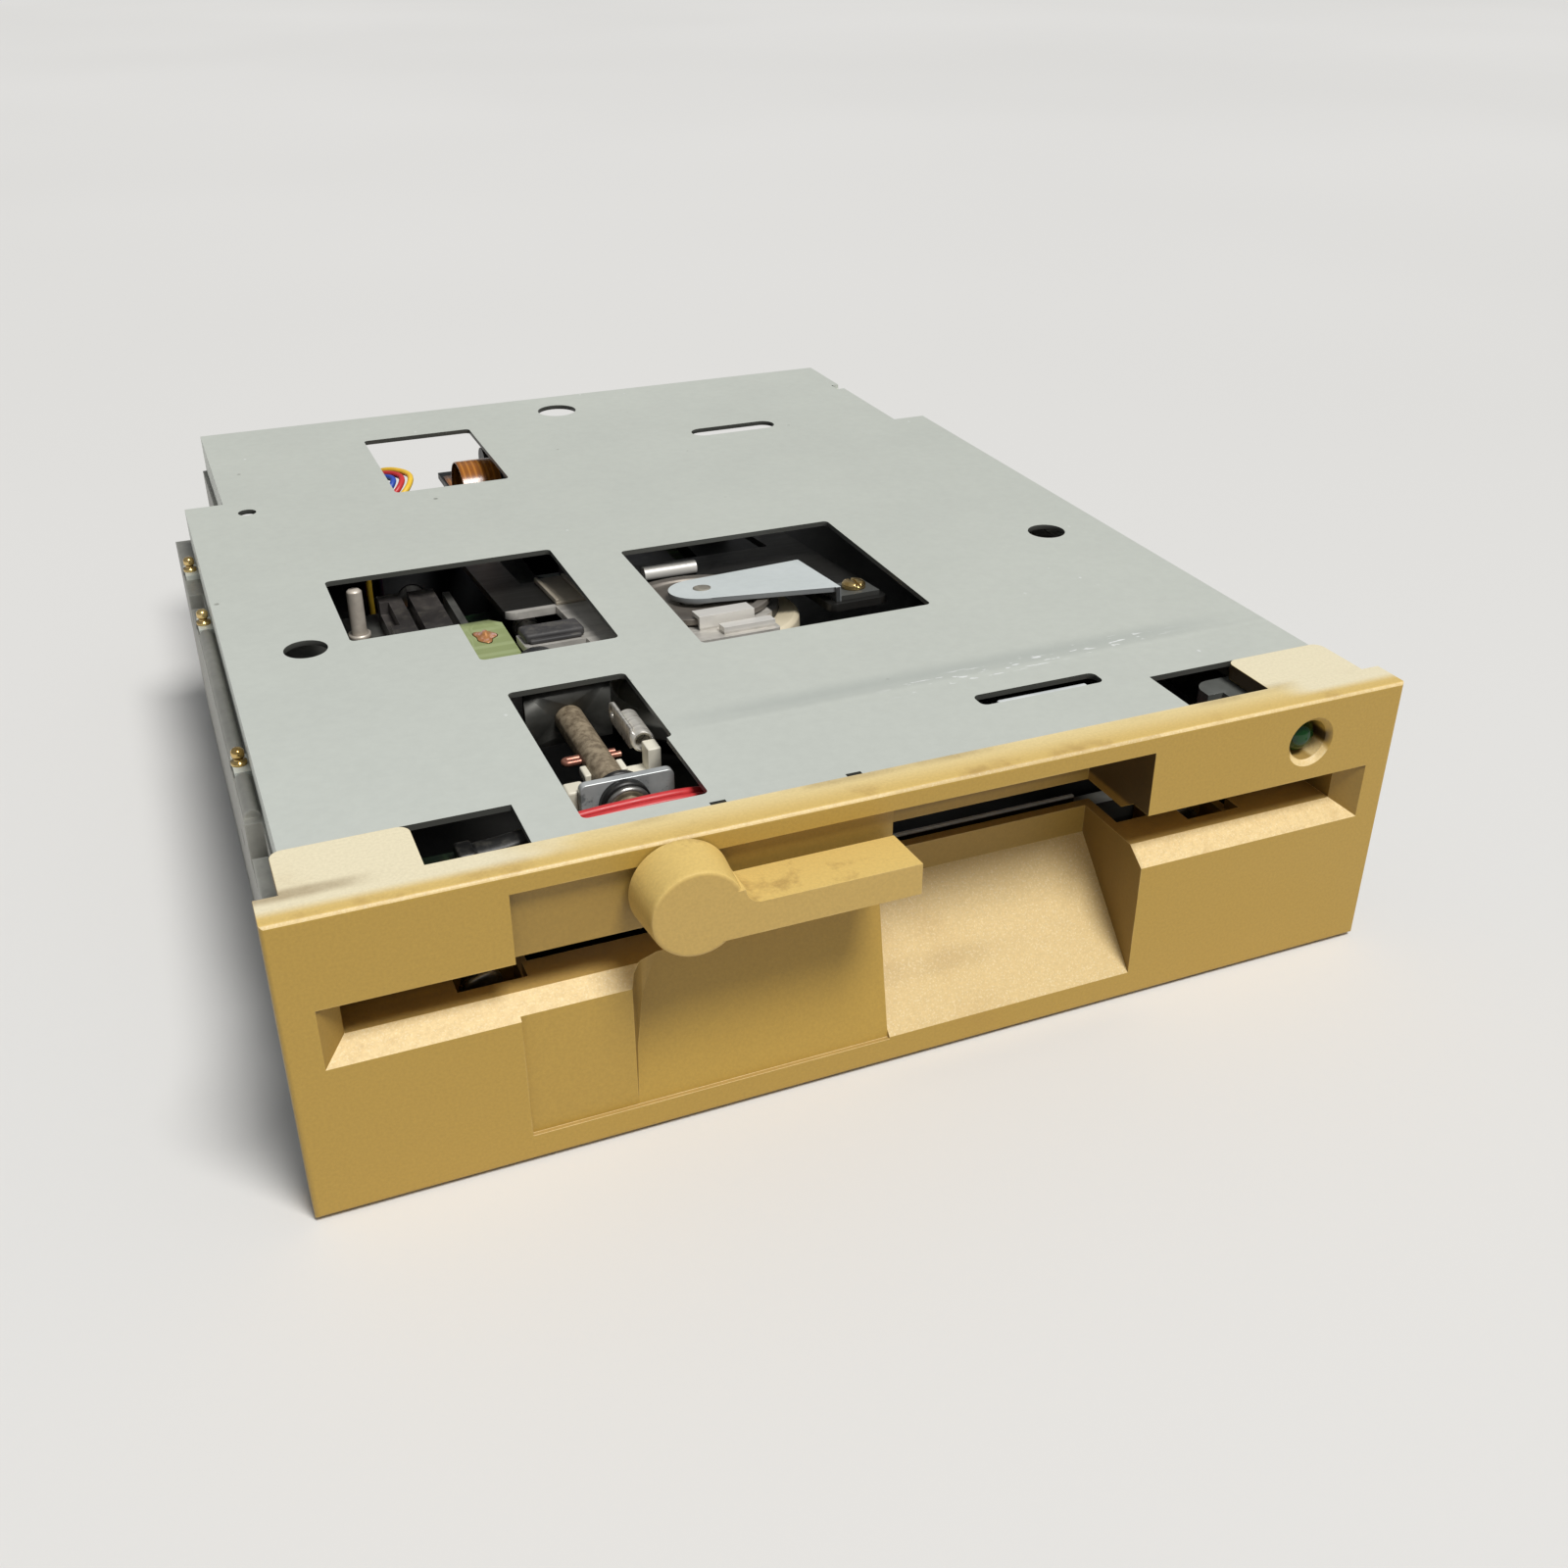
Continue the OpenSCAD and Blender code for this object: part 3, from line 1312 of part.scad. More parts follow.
module motor_coils() {
    ring_r = 19.6;
    coil_r = 5.6;
    for (i = [0 : coil_n - 1])
        translate([0, spindle_y, coil_z[0]])
            rotate(360 * (i + 0.5) / coil_n)
                translate([ring_r, 0, 0])
                    difference() {
                        cylinder(h = coil_z[1] - coil_z[0], r = coil_r);
                        translate([0, 0, -1])
                            cylinder(h = 10, r = 2);
                    }
}

// Head carriage, at the outermost track
carriage_half = 19;
carriage_y = [track0_y - 2, bulkhead_y[0] - 1];
carriage_z = [rod_z - 3, rod_z + 4];
tower_half = 6;
head_post_y = [carriage_y[1] - 9, carriage_y[1]];
arm_pivot = [head_post_y[0] + 4.5, 31.5];
nut_y = [stepper_wall_y[0] - 6.5, stepper_wall_y[0] - 0.5];
flag_y = [carriage_y[1] - 14.5, carriage_y[1] - 12.5];
head_lug = [8.6, 12];
tray_x = -20.5;
tray_z = [slot_z1 + 0.7, slot_z1 + 1.9];
flex_r = 6.6;

module head_carriage() {
    lug_in = head_lug[0];
    lug_out = head_lug[1];
    difference() {
        union() {
            translate([0, 0, carriage_z[0]])
                linear_extrude(carriage_z[1] - carriage_z[0])
                    difference() {
                        round_rect([-carriage_half, carriage_half], carriage_y, 2);
                        round_rect([-9, 9], [track0_y + 10, head_post_y[0] - 4], 3);
                    }
            span([-tower_half, tower_half], [track0_y - 5, track0_y + 5], [carriage_z[1] - eps, slot_z0 - 2.5]);
            span([-lug_out, lug_out], head_post_y, [carriage_z[1] - eps, arm_pivot[1] - 3.2]);
            both_sides() {
                span([lug_in, lug_out], [arm_pivot[0] - 3, arm_pivot[0] + 3],
                    [arm_pivot[1] - 3.3, arm_pivot[1]]);
                bar_x(arm_pivot[0], arm_pivot[1], [lug_in, lug_out], 3);
            }
            span([screw_x - 5, -carriage_half + eps], nut_y, [rod_z - 1, screw_z + 5.2]);
            // Tray for the flexible circuit, above the disk
            span([tray_x, -lug_out + eps], [carriage_y[1] - 27.4, carriage_y[1] - 1], tray_z);
            span([carriage_half - eps, cutout_x[1] - 0.6], flag_y, [carriage_z[1] - 2, deck_top + 2.4]);
            span([carriage_half, cutout_x[1] + 5.4], flag_y, [deck_top + 0.8, deck_top + 2.4]);
        }
        for (s = [-1, 1])
            bar_y(s * rod_x, rod_z, [carriage_y[0] - 1, carriage_y[1] + 1], rod_d / 2 + run);
        bar_x(arm_pivot[0], arm_pivot[1], [-lug_out - 1, lug_out + 1], 1);
        bar_y(screw_x, screw_z, [nut_y[0] - 1, nut_y[1] + 1], screw_d / 2 + gap);
    }
}

module lower_head() {
    translate([0, track0_y, 0])
        rotate_extrude()
            polygon([[0, slot_z0 - 2.5], [5, slot_z0 - 2.5], [5, slot_z0 - 1.2], [3.4, slot_z0 - 0.8],
                [3.4, slot_z0 - 0.35], [3, slot_z0 - 0.15], [0, slot_z0 - 0.15]]);
}

module arm_pin() {
    bar_x(arm_pivot[0], arm_pivot[1], [-12, 12], 1 - 0.01);
}

module lifted() {
    translate([0, arm_pivot[0], arm_pivot[1]])
        rotate([-arm_deg, 0, 0])
            translate([0, -arm_pivot[0], -arm_pivot[1]])
                children();
}

arm_z = [slot_z1 + 0.6, slot_z1 + 2.8];

module upper_arm() {
    half = 7.6;
    lifted()
        difference() {
            union() {
                translate([0, 0, arm_z[0]])
                    linear_extrude(arm_z[1] - arm_z[0])
                        difference() {
                            round_rect([-half, half], [track0_y - 5, head_post_y[0] - 2], 3);
                            round_rect([-3.6, 3.6], [track0_y + 9, head_post_y[0] - 8], 2);
                        }
                span([-half, half], [head_post_y[0] - 6, arm_pivot[0]], [arm_z[1] - eps, arm_pivot[1] + 1.4]);
                span([-half, half], [head_post_y[0] - 6, head_post_y[0] - 3], [arm_z[0], arm_z[1]]);
                bar_x(arm_pivot[0], arm_pivot[1], [-8.3, 8.3], 2.5);
            }
            bar_x(arm_pivot[0], arm_pivot[1], [-9, 9], 1 + run);
            span([-half - 1, half + 1], [head_post_y[0] - 1.6, arm_pivot[0] + 4], [arm_z[0] - 1, arm_pivot[1] - 2.6]);
        }
}

module upper_head() {
    lifted()
        translate([0, track0_y, 0])
            rotate_extrude()
                polygon([[0, arm_z[0]], [4.4, arm_z[0]], [4.4, arm_z[0] - 0.8], [3.2, arm_z[0] - 1.1],
                    [3.2, arm_z[0] - 1.6], [2.8, arm_z[0] - 1.8], [0, arm_z[0] - 1.8]]);
}

module guide_rods() {
    for (s = [-1, 1])
        bar_y(s * rod_x, rod_z, [rod_web_y[0] + 0.3, plate_back_y - 0.3], rod_d / 2);
}

module lead_screw() {
    tip_y = rod_web_y[0] + 0.4;
    bar_y(screw_x, screw_z, [rod_web_y[1] + 3.4, stepper_wall_y[1] + 4], screw_d / 2);
    bar_y(screw_x, screw_z, [tip_y, rod_web_y[1] + 4], screw_d / 2 - 1);
}

stepper_y = [stepper_wall_y[1], bulkhead_y[0] - 3.5];
lead_top = [screw_x - 7.5, stepper_y[0] + 8.5, screw_z + 10.4];

module stepper_motor() {
    mid = (stepper_y[1] - stepper_y[0]) / 2;
    difference() {
        union() {
            translate([screw_x, stepper_y[0], screw_z])
                rotate([-90, 0, 0])
                    rotate_extrude()
                        polygon([[0, 0], [stepper_r, 0], [stepper_r, mid - 0.6], [stepper_r - 0.5, mid - 0.3],
                            [stepper_r - 0.5, mid + 0.3], [stepper_r, mid + 0.6], [stepper_r, 2 * mid - 0.6],
                            [stepper_r - 0.8, 2 * mid], [0, 2 * mid]]);
            bar_y(screw_x, screw_z, [stepper_y[1] - eps, stepper_y[1] + 1.2], 3.4);
            span([lead_top[0] - 1.5, lead_top[0] + 4.7], [lead_top[1] - 2.5, lead_top[1] + 2.5],
                [screw_z, lead_top[2]]);
        }
        bar_y(screw_x, screw_z, [stepper_y[0] - 1, stepper_y[0] + 5], screw_d / 2 + run);
    }
}

// Leads from the stepper, up under the plate's rear window and down to the main board.
// Each entry is a point of the first lead and the step from one lead to the next
wire_route = [[[0, 0, 0.02], [1.6, 0, 0]], [[0, 0, 2.2], [1.6, 0, 0]], [[1, -1, 5.4], [1.5, 0.6, 0]],
    [[3.6, -3.4, 8.4], [1.2, 1.1, 0.2]], [[6.4, -6.4, 9.8], [1.2, 1.1, 0.2]], [[8, -9.6, 10.2], [1.6, 0.2, 0.1]],
    [[7, -11.6, 9.2], [1.4, -0.8, 0]], [[4.4, -12.4, 6.8], [0.9, -1.3, 0]], [[1.8, -12.7, 3], [0.5, -1.5, 0]],
    [[0.4, -12.8, -1.6], [0.1, -1.6, 0]], [[0.2, -12.8, -7.6], [0, -1.6, 0]], [[0.2, -12.8, -14.6], [0, -1.6, 0]],
    [[0.2, -12.8, board_top + 0.05 - lead_top[2]], [0, -1.6, 0]]];

module stepper_wires() {
    for (i = [0 : 2])
        color([[0.15, 0.3, 0.7], [0.8, 0.15, 0.12], [0.95, 0.75, 0.15]][i])
            tube([for (p = wire_route) lead_top + p[0] + i * p[1]], wire_r, wire_sides, [0.3, 1, 0.1]);
}

// Amber flexible circuit of the heads, an arch on the carriage's tray
module head_flex() {
    flex_t = 0.3;
    mid = [carriage_y[1] - 19.5, tray_z[1] + 1];
    along_x([tray_x + 0.3, -head_lug[1] - 0.6]) {
        intersection() {
            translate(mid)
                difference() {
                    circle(flex_r);
                    circle(flex_r - flex_t);
                }
            translate([mid[0] - flex_r - 1, mid[1]])
                square(2 * flex_r + 2);
        }
        for (y = [mid[0] - flex_r, mid[0] + flex_r - flex_t])
            translate([y, tray_z[1]])
                square([flex_t, 1 + eps]);
        translate([mid[0] + flex_r - flex_t, tray_z[1]])
            square([9, flex_t]);
    }
}

module track_sensor() {
    x = [cutout_x[1] + 2, cutout_x[1] + 11.5];
    y = [flag_y[0] - 3.5, flag_y[1] + 3.5];
    difference() {
        span(x, y, [deck_top, deck_top + 7.6]);
        span([x[0] - 1, x[0] + 5.4], [y[0] - 1, y[1] + 1], [deck_top - 1, deck_top + 5]);
    }
}

// Main board at the bottom rear, with its card edge
board_front_y = rod_web_y[1] + 1;
card_x = [9 - board_half, 9 - board_half + card_w];
contact_n = 17;
contact_pitch = 2.54;

module main_board() {
    difference() {
        translate([0, 0, board_z])
            linear_extrude(board_t) {
                translate([-board_half, board_front_y])
                    square([2 * board_half, card_y[0] - board_front_y]);
                translate([card_x[0], card_y[0] - eps])
                    square([card_w, card_y[1] - card_y[0] + eps]);
            }
        // Polarising slot between the second and third contacts
        translate([card_x[0] + (card_w - contact_pitch * (contact_n - 1)) / 2 + 1.5 * contact_pitch,
            card_y[1], board_z])
            cube([0.9, 22, 8], center = true);
        for (s = [-1, 1], y = [board_post[1], board_post[2]])
            bar_z(s * board_post[0], y, [board_z - 1, board_top + 1], 1.6);
    }
}

module card_contacts() {
    contact_t = 0.1;
    first = card_x[0] + (card_w - contact_pitch * (contact_n - 1)) / 2;
    for (i = [0 : contact_n - 1], z = [board_z - contact_t, board_top])
        span([first + i * contact_pitch - 0.8, first + i * contact_pitch + 0.8],
            [card_y[1] - 10, card_y[1] - 0.6], [z, z + contact_t]);
}

module board_chips() {
    chip = [19.5, 6.6, 3.4];
    row_y = card_y[0] - 12.3;
    places = [[-50, 122], [-50, 130.5], [26, 122], [26, 140], [-22, 111], [socket_x[0] - 21, row_y],
        [socket_x[0] - 43, row_y]];
    for (p = places)
        translate([p[0], p[1], board_top])
            difference() {
                cube(chip);
                translate([0, chip[1] / 2, chip[2]])
                    sphere(0.9);
            }
}

// Four-way power socket
socket_x = [board_half - 30, board_half - 8];
socket_y = [card_y[0] - 10.3, card_y[0] + 2.7];
socket_wall = 1.2;
socket_in_h = 10.6;

module power_header() {
    x = socket_x;
    z = [board_top, board_top + socket_in_h + 2 * socket_wall];
    difference() {
        span(x, socket_y, z);
        span([x[0] + socket_wall, x[1] - socket_wall], [socket_y[0] + 2.4, socket_y[1] + 1],
            [z[0] + socket_wall, z[1] - socket_wall]);
        for (i = [-1.5 : 1 : 1.5])
            bar_y((x[0] + x[1]) / 2 + i * 5.08, (z[0] + z[1]) / 2, [socket_y[0] - 1, socket_y[0] + 4], 1.05);
    }
}

module power_pins() {
    z_mid = board_top + socket_wall + socket_in_h / 2;
    for (i = [-1.5 : 1 : 1.5])
        bar_y((socket_x[0] + socket_x[1]) / 2 + i * 5.08, z_mid, [socket_y[0] + 0.2, socket_y[1] - 1.5], 1.04);
}

// One piece, in the frame whose origin is under the middle of the whole drive, on the table
module show(name, tint = steel) {
    color(tint)
            translate([0, -(drive_depth - lever_reach) / 2, 0])
                children();
}

show("front_bezel", beige) front_bezel();
show("top_plate", plate_grey) top_plate();
show("chassis", cast_grey) chassis();
show("lever_knob", beige) lever_knob();
show("lever_shaft", [0.45, 0.4, 0.33]) lever_shaft();
show("lever_crank", [0.9, 0.88, 0.8]) lever_crank();
show("crank_clip") crank_clip();
show("shaft_washer", black) shaft_washer();
show("lift_cam", black) lift_cam();
show("lever_bracket") lever_bracket();
show("shaft_bush") shaft_bush();
show("bush_ring", black) bush_ring();
show("lever_pin", [0.6, 0.35, 0.22]) lever_pin();
show("shaft_hanger") shaft_hanger();
show("led_lens", [0.1, 0.3, 0.14]) led_lens();
show("led_holder", [0.45, 0.45, 0.43]) led_holder();
show("led_wires", [0.7, 0.12, 0.12]) led_wires();
show("front_board", board_green) front_board();
show("board_bracket") board_bracket();
show("bezel_screws") bezel_screws();
show("side_studs", brass) side_studs();
show("disk_guide_left", black) disk_guide_left();
show("disk_guide_right", black) disk_guide_right();
show("guide_screws") guide_screws();
show("sensor_shelf") sensor_shelf();
show("index_holder", black) index_holder();
show("index_board", board_green) index_board();
show("index_post") index_post();
show("write_sensor", black) write_sensor();
show("clamp_carrier", [0.74, 0.75, 0.74]) clamp_carrier();
show("clamp_leaf", plate_grey) clamp_leaf();
show("leaf_rivet", [0.55, 0.53, 0.5]) leaf_rivet();
show("clamp_screw", brass) clamp_screw();
show("pivot_pins") pivot_pins();
show("clamp_hub", cream) clamp_hub();
show("hub_button") hub_button();
show("spindle_hub", [0.7, 0.71, 0.72]) spindle_hub();
show("spindle_shaft") spindle_shaft();
show("bearing_housing", [0.66, 0.66, 0.64]) bearing_housing();
show("spindle_bearings") spindle_bearings();
show("rotor", [0.75, 0.76, 0.77]) rotor();
show("rotor_magnet", [0.25, 0.24, 0.23]) rotor_magnet();
show("motor_board", board_green) motor_board();
show("motor_coils", [0.62, 0.36, 0.2]) motor_coils();
show("head_carriage", [0.3, 0.3, 0.31]) head_carriage();
show("lower_head", [0.16, 0.16, 0.17]) lower_head();
show("arm_pin") arm_pin();
show("upper_arm", [0.3, 0.3, 0.31]) upper_arm();
show("upper_head", [0.16, 0.16, 0.17]) upper_head();
show("guide_rods") guide_rods();
show("lead_screw") lead_screw();
show("stepper_motor", [0.35, 0.35, 0.36]) stepper_motor();
show("stepper_wires") stepper_wires();
show("head_flex", [0.55, 0.3, 0.06]) head_flex();
show("track_sensor", black) track_sensor();
show("main_board", board_green) main_board();
show("card_contacts", [0.85, 0.68, 0.3]) card_contacts();
show("board_chips", black) board_chips();
show("power_header", [0.9, 0.89, 0.84]) power_header();
show("power_pins") power_pins();
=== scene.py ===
import math

import bmesh
import bpy
from mathutils import Matrix, Vector


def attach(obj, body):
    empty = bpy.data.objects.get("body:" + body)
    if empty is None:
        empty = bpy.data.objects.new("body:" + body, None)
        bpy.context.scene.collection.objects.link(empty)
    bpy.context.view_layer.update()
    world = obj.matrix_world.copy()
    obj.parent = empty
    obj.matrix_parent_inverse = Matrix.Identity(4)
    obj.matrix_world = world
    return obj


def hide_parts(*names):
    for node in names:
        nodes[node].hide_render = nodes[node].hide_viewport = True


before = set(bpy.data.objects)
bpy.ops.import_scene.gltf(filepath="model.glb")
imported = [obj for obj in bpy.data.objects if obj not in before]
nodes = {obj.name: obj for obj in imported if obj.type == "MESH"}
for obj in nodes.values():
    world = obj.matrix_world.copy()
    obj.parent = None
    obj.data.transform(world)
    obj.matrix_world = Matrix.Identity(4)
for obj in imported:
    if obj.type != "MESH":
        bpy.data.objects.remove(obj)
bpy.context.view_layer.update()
scene = bpy.context.scene
scene.view_settings.view_transform = "Standard"

# The drive frame of the part's source: Y is counted back from the bezel's front face
FACE_Y = -0.0981
MM = 0.001
# Inner face and end of the frame's wide front part and of its narrower rear part
WIDE_IN = 0.0692
WIDE_END = FACE_Y + 0.1372
REAR_IN = 0.0628
REAR_END = FACE_Y + 0.1735
# The plate's crease, the finger notch's two sides and the lever's axis, the last two in millimetres
CREASE_Y = FACE_Y + 0.0252
NOTCH_X = (-1.5, 35.5)
LEVER_X, LEVER_Z = -28.9, 35.0
# The clamp's pivot in millimetres, and how far the clamp stands open
CLAMP_Y, CLAMP_Z = 148, 30
CLAMP_TILT = math.radians(5.82)


def drive(x, y, z):
    """A point given in millimetres in the drive frame, in metres in the shared frame."""
    return Vector((x * MM, y * MM + FACE_Y, z * MM))


def rgb(r, g, b):
    """Linear colour from 0 to 255 display values."""
    def lin(v):
        v = v / 255.0
        return v / 12.92 if v <= 0.04045 else ((v + 0.055) / 1.055) ** 2.4
    return (lin(r), lin(g), lin(b), 1.0)


def lighter(colour, by):
    """Linear colour from display values, each raised by the same amount."""
    return rgb(*[min(255, c + by) for c in colour])


# Camera at the photograph's view
CAMERA_PLACE = Vector((-0.07666, -0.24286, 0.13474))
CAMERA_YAW, CAMERA_PITCH = math.radians(22.767), math.radians(29.66)
SENSOR_WIDTH, LENS = 36.0, 36.577


def make_camera():
    """The camera that the photo's straight edges give."""
    data = bpy.data.cameras.new("camera")
    data.sensor_width = SENSOR_WIDTH
    data.lens = LENS
    data.clip_start = 0.01
    data.clip_end = 50.0
    cam = bpy.data.objects.new("camera", data)
    scene.collection.objects.link(cam)
    yaw, pitch = CAMERA_YAW, CAMERA_PITCH
    ahead = Vector((math.sin(yaw) * math.cos(pitch), math.cos(yaw) * math.cos(pitch), -math.sin(pitch)))
    right = Vector((math.cos(yaw), -math.sin(yaw), 0.0))
    up = right.cross(ahead)
    turn = Matrix((right, up, -ahead)).transposed().to_4x4()
    cam.matrix_world = Matrix.Translation(CAMERA_PLACE) @ turn
    scene.camera = cam


make_camera()


# Leads, on the routes that the part's source gives them

def smooth_path(points, steps=8):
    """Points of a smooth line through the given ones."""
    out = []
    for i in range(len(points) - 1):
        a = points[max(i - 1, 0)]
        b, c = points[i], points[i + 1]
        d = points[min(i + 2, len(points) - 1)]
        for k in range(steps):
            t = k / steps
            out.append(0.5 * ((2 * b) + (c - a) * t + (2 * a - 5 * b + 4 * c - d) * t ** 2
                              + (3 * b - a - 3 * c + d) * t ** 3))
    out.append(points[-1])
    return out


def tube_curve(name, path, radius):
    """A round tube along a path, as a curve of one open spline."""
    data = bpy.data.curves.new(name, "CURVE")
    data.dimensions = "3D"
    data.bevel_depth = 1.0
    data.bevel_resolution = 4
    data.use_fill_caps = True
    spline = data.splines.new("POLY")
    spline.points.add(len(path) - 1)
    for point, place in zip(spline.points, path):
        point.co = (place.x, place.y, place.z, 1.0)
        point.radius = radius
    spline.use_smooth = True
    obj = bpy.data.objects.new(name, data)
    scene.collection.objects.link(obj)
    return obj


LEAD_R = 0.55 * MM
# The light's second lead lies this far in front of the first, in millimetres
LEAD_STEP = 1.5
LIGHT_ROUTE = [(50.95, 12.4, 33.2), (48.6, 12.4, 33.2), (45, 15, 33.2), (40, 17.6, 33.2), (28, 17.8, 33),
               (14, 17.8, 33), (0, 17.8, 33.2), (-9, 17.4, 34), (-15, 16.2, 35.8), (-20, 14.8, 37.6),
               (-24, 14.1, 38.4), (-30, 13.9, 38.5), (-36, 13.8, 38.3), (-42, 13.7, 37.7), (-46, 13.6, 37.2),
               (-49, 13.6, 37), (-50.1, 13.6, 36.6), (-50.4, 13.6, 36.1), (-50.4, 13.6, 35.52)]
# The stepper's leads: points from the motor's top, each with the step to the next lead
STEPPER_TOP = (-41.0, 158.0, 26.6)
STEPPER_ROUTE = [((0, 0, 0.02), (1.6, 0, 0)), ((0, 0, 2.2), (1.6, 0, 0)), ((1, -1, 5.4), (1.5, 0.6, 0)),
                 ((3.6, -3.4, 8.4), (1.2, 1.1, 0.2)), ((6.4, -6.4, 9.8), (1.2, 1.1, 0.2)),
                 ((8, -9.6, 10.2), (1.6, 0.2, 0.1)), ((7, -11.6, 9.2), (1.4, -0.8, 0)),
                 ((4.4, -12.4, 6.8), (0.9, -1.3, 0)), ((1.8, -12.7, 3), (0.5, -1.5, 0)),
                 ((0.4, -12.8, -1.6), (0.1, -1.6, 0)), ((0.2, -12.8, -7.6), (0, -1.6, 0)),
                 ((0.2, -12.8, -14.6), (0, -1.6, 0)), ((0.2, -12.8, -21.95), (0, -1.6, 0))]


def light_path(lead):
    return [drive(x, y - LEAD_STEP * lead, z) for x, y, z in LIGHT_ROUTE]


def stepper_path(lead):
    return [drive(*[top + p + lead * s for top, p, s in zip(STEPPER_TOP, point, step)])
            for point, step in STEPPER_ROUTE]


def make_lead(name, points, node):
    """A lead in place of a CAD node, with both ends on the drive."""
    path = smooth_path(points)
    obj = tube_curve(name, path, LEAD_R)
    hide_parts(node)
    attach(obj, "drive")
    return obj


light_leads = [make_lead("light_lead_%d" % (i + 1), light_path(i), "led_wires") for i in range(2)]
stepper_leads = [make_lead("stepper_lead_%d" % (i + 1), stepper_path(i), "stepper_wires") for i in range(3)]


# Light and floor

def make_sun():
    """One broad soft light from above the front right."""
    data = bpy.data.lights.new("overhead", "SUN")
    data.energy = 2.8
    data.angle = math.radians(20)
    data.color = (1.0, 0.99, 0.975)
    lamp = bpy.data.objects.new("overhead", data)
    scene.collection.objects.link(lamp)
    lamp.rotation_euler = Vector((-0.2, 0.5, -1.0)).to_track_quat("-Z", "Y").to_euler()


make_sun()


class Graph:
    """A material built from nodes around one Principled shader."""

    def __init__(self, name):
        self.material = bpy.data.materials.new(name)
        self.material.use_nodes = True
        self.tree = self.material.node_tree
        self.tree.nodes.clear()
        out = self.add("ShaderNodeOutputMaterial")
        self.shader = self.add("ShaderNodeBsdfPrincipled")
        self.tree.links.new(self.shader.outputs[0], out.inputs[0])
        self.coord = self.add("ShaderNodeTexCoord")

    def add(self, kind, **props):
        node = self.tree.nodes.new(kind)
        for key, value in props.items():
            setattr(node, key, value)
        return node

    def put(self, socket, value):
        if isinstance(value, bpy.types.NodeSocket):
            self.tree.links.new(value, socket)
        elif value is not None:
            socket.default_value = value

    def place(self):
        return self.coord.outputs["Object"]

    def facing(self):
        return self.coord.outputs["Normal"]

    def axes(self, vector):
        split = self.add("ShaderNodeSeparateXYZ")
        self.put(split.inputs[0], vector)
        return split.outputs

    def stretch(self, vector, scale):
        mapping = self.add("ShaderNodeMapping")
        self.put(mapping.inputs["Vector"], vector)
        mapping.inputs["Scale"].default_value = scale
        return mapping.outputs[0]

    def noise(self, scale, detail=3.0, rough=0.5, vector=None):
        node = self.add("ShaderNodeTexNoise")
        self.put(node.inputs["Vector"], vector or self.place())
        node.inputs["Scale"].default_value = scale
        node.inputs["Detail"].default_value = detail
        node.inputs["Roughness"].default_value = rough
        return node.outputs["Fac"]

    def cells(self, scale, vector=None):
        node = self.add("ShaderNodeTexVoronoi")
        self.put(node.inputs["Vector"], vector or self.place())
        node.inputs["Scale"].default_value = scale
        return node.outputs["Distance"]

    def math(self, kind, a, b=0.0):
        node = self.add("ShaderNodeMath", operation=kind)
        self.put(node.inputs[0], a)
        self.put(node.inputs[1], b)
        return node.outputs[0]

    def times(self, *values):
        total = values[0]
        for value in values[1:]:
            total = self.math("MULTIPLY", total, value)
        return total

    def size(self, value):
        return self.math("ABSOLUTE", value)

    def invert(self, mask):
        return self.math("SUBTRACT", 1.0, mask)

    def remap(self, value, low, high, to_low=0.0, to_high=1.0, soft=True):
        node = self.add("ShaderNodeMapRange", interpolation_type="SMOOTHSTEP" if soft else "LINEAR")
        node.clamp = True
        self.put(node.inputs["Value"], value)
        for key, number in (("From Min", low), ("From Max", high), ("To Min", to_low), ("To Max", to_high)):
            node.inputs[key].default_value = number
        return node.outputs["Result"]

    def fade(self, value, low, high):
        """1 up to low, falling to 0 at high."""
        return self.remap(value, low, high, 1.0, 0.0)

    def contrast(self, noise):
        """A noise's middle range drawn out from 0 to 1."""
        return self.remap(noise, 0.3, 0.7)

    def spread(self, noise, low, high):
        """A noise's middle range spread evenly from low to high."""
        return self.remap(noise, 0.3, 0.7, low, high, False)

    def blend(self, mask, low, high):
        """A value that goes evenly from low to high with a mask."""
        return self.remap(mask, 0.0, 1.0, low, high, False)

    def inside(self, value, low, high, edge):
        """1 between low and high, with soft ends of half width edge."""
        return self.times(self.remap(value, low - edge, low + edge), self.fade(value, high - edge, high + edge))

    def mix(self, a, b, share):
        node = self.add("ShaderNodeMix", data_type="RGBA")
        self.put(node.inputs[0], share)
        self.put(node.inputs[6], a)
        self.put(node.inputs[7], b)
        return node.outputs[2]

    def shade(self, colour, amount):
        """Colour multiplied by a grey value."""
        node = self.add("ShaderNodeMix", data_type="RGBA", blend_type="MULTIPLY")
        node.inputs[0].default_value = 1.0
        self.put(node.inputs[6], colour)
        grey = self.add("ShaderNodeCombineColor")
        for i in range(3):
            self.put(grey.inputs[i], amount)
        self.put(node.inputs[7], grey.outputs[0])
        return node.outputs[2]

    def edge(self, radius):
        """1 near the mesh's sharp edges."""
        bevel = self.add("ShaderNodeBevel", samples=4)
        bevel.inputs["Radius"].default_value = radius
        geometry = self.add("ShaderNodeNewGeometry")
        dot = self.add("ShaderNodeVectorMath", operation="DOT_PRODUCT")
        self.put(dot.inputs[0], bevel.outputs[0])
        self.put(dot.inputs[1], geometry.outputs["Normal"])
        return self.remap(self.invert(dot.outputs["Value"]), 0.02, 0.25)

    def bump(self, height, strength, distance, after=None):
        node = self.add("ShaderNodeBump")
        node.inputs["Strength"].default_value = strength
        node.inputs["Distance"].default_value = distance
        self.put(node.inputs["Height"], height)
        if after is not None:
            self.put(node.inputs["Normal"], after)
        return node.outputs[0]

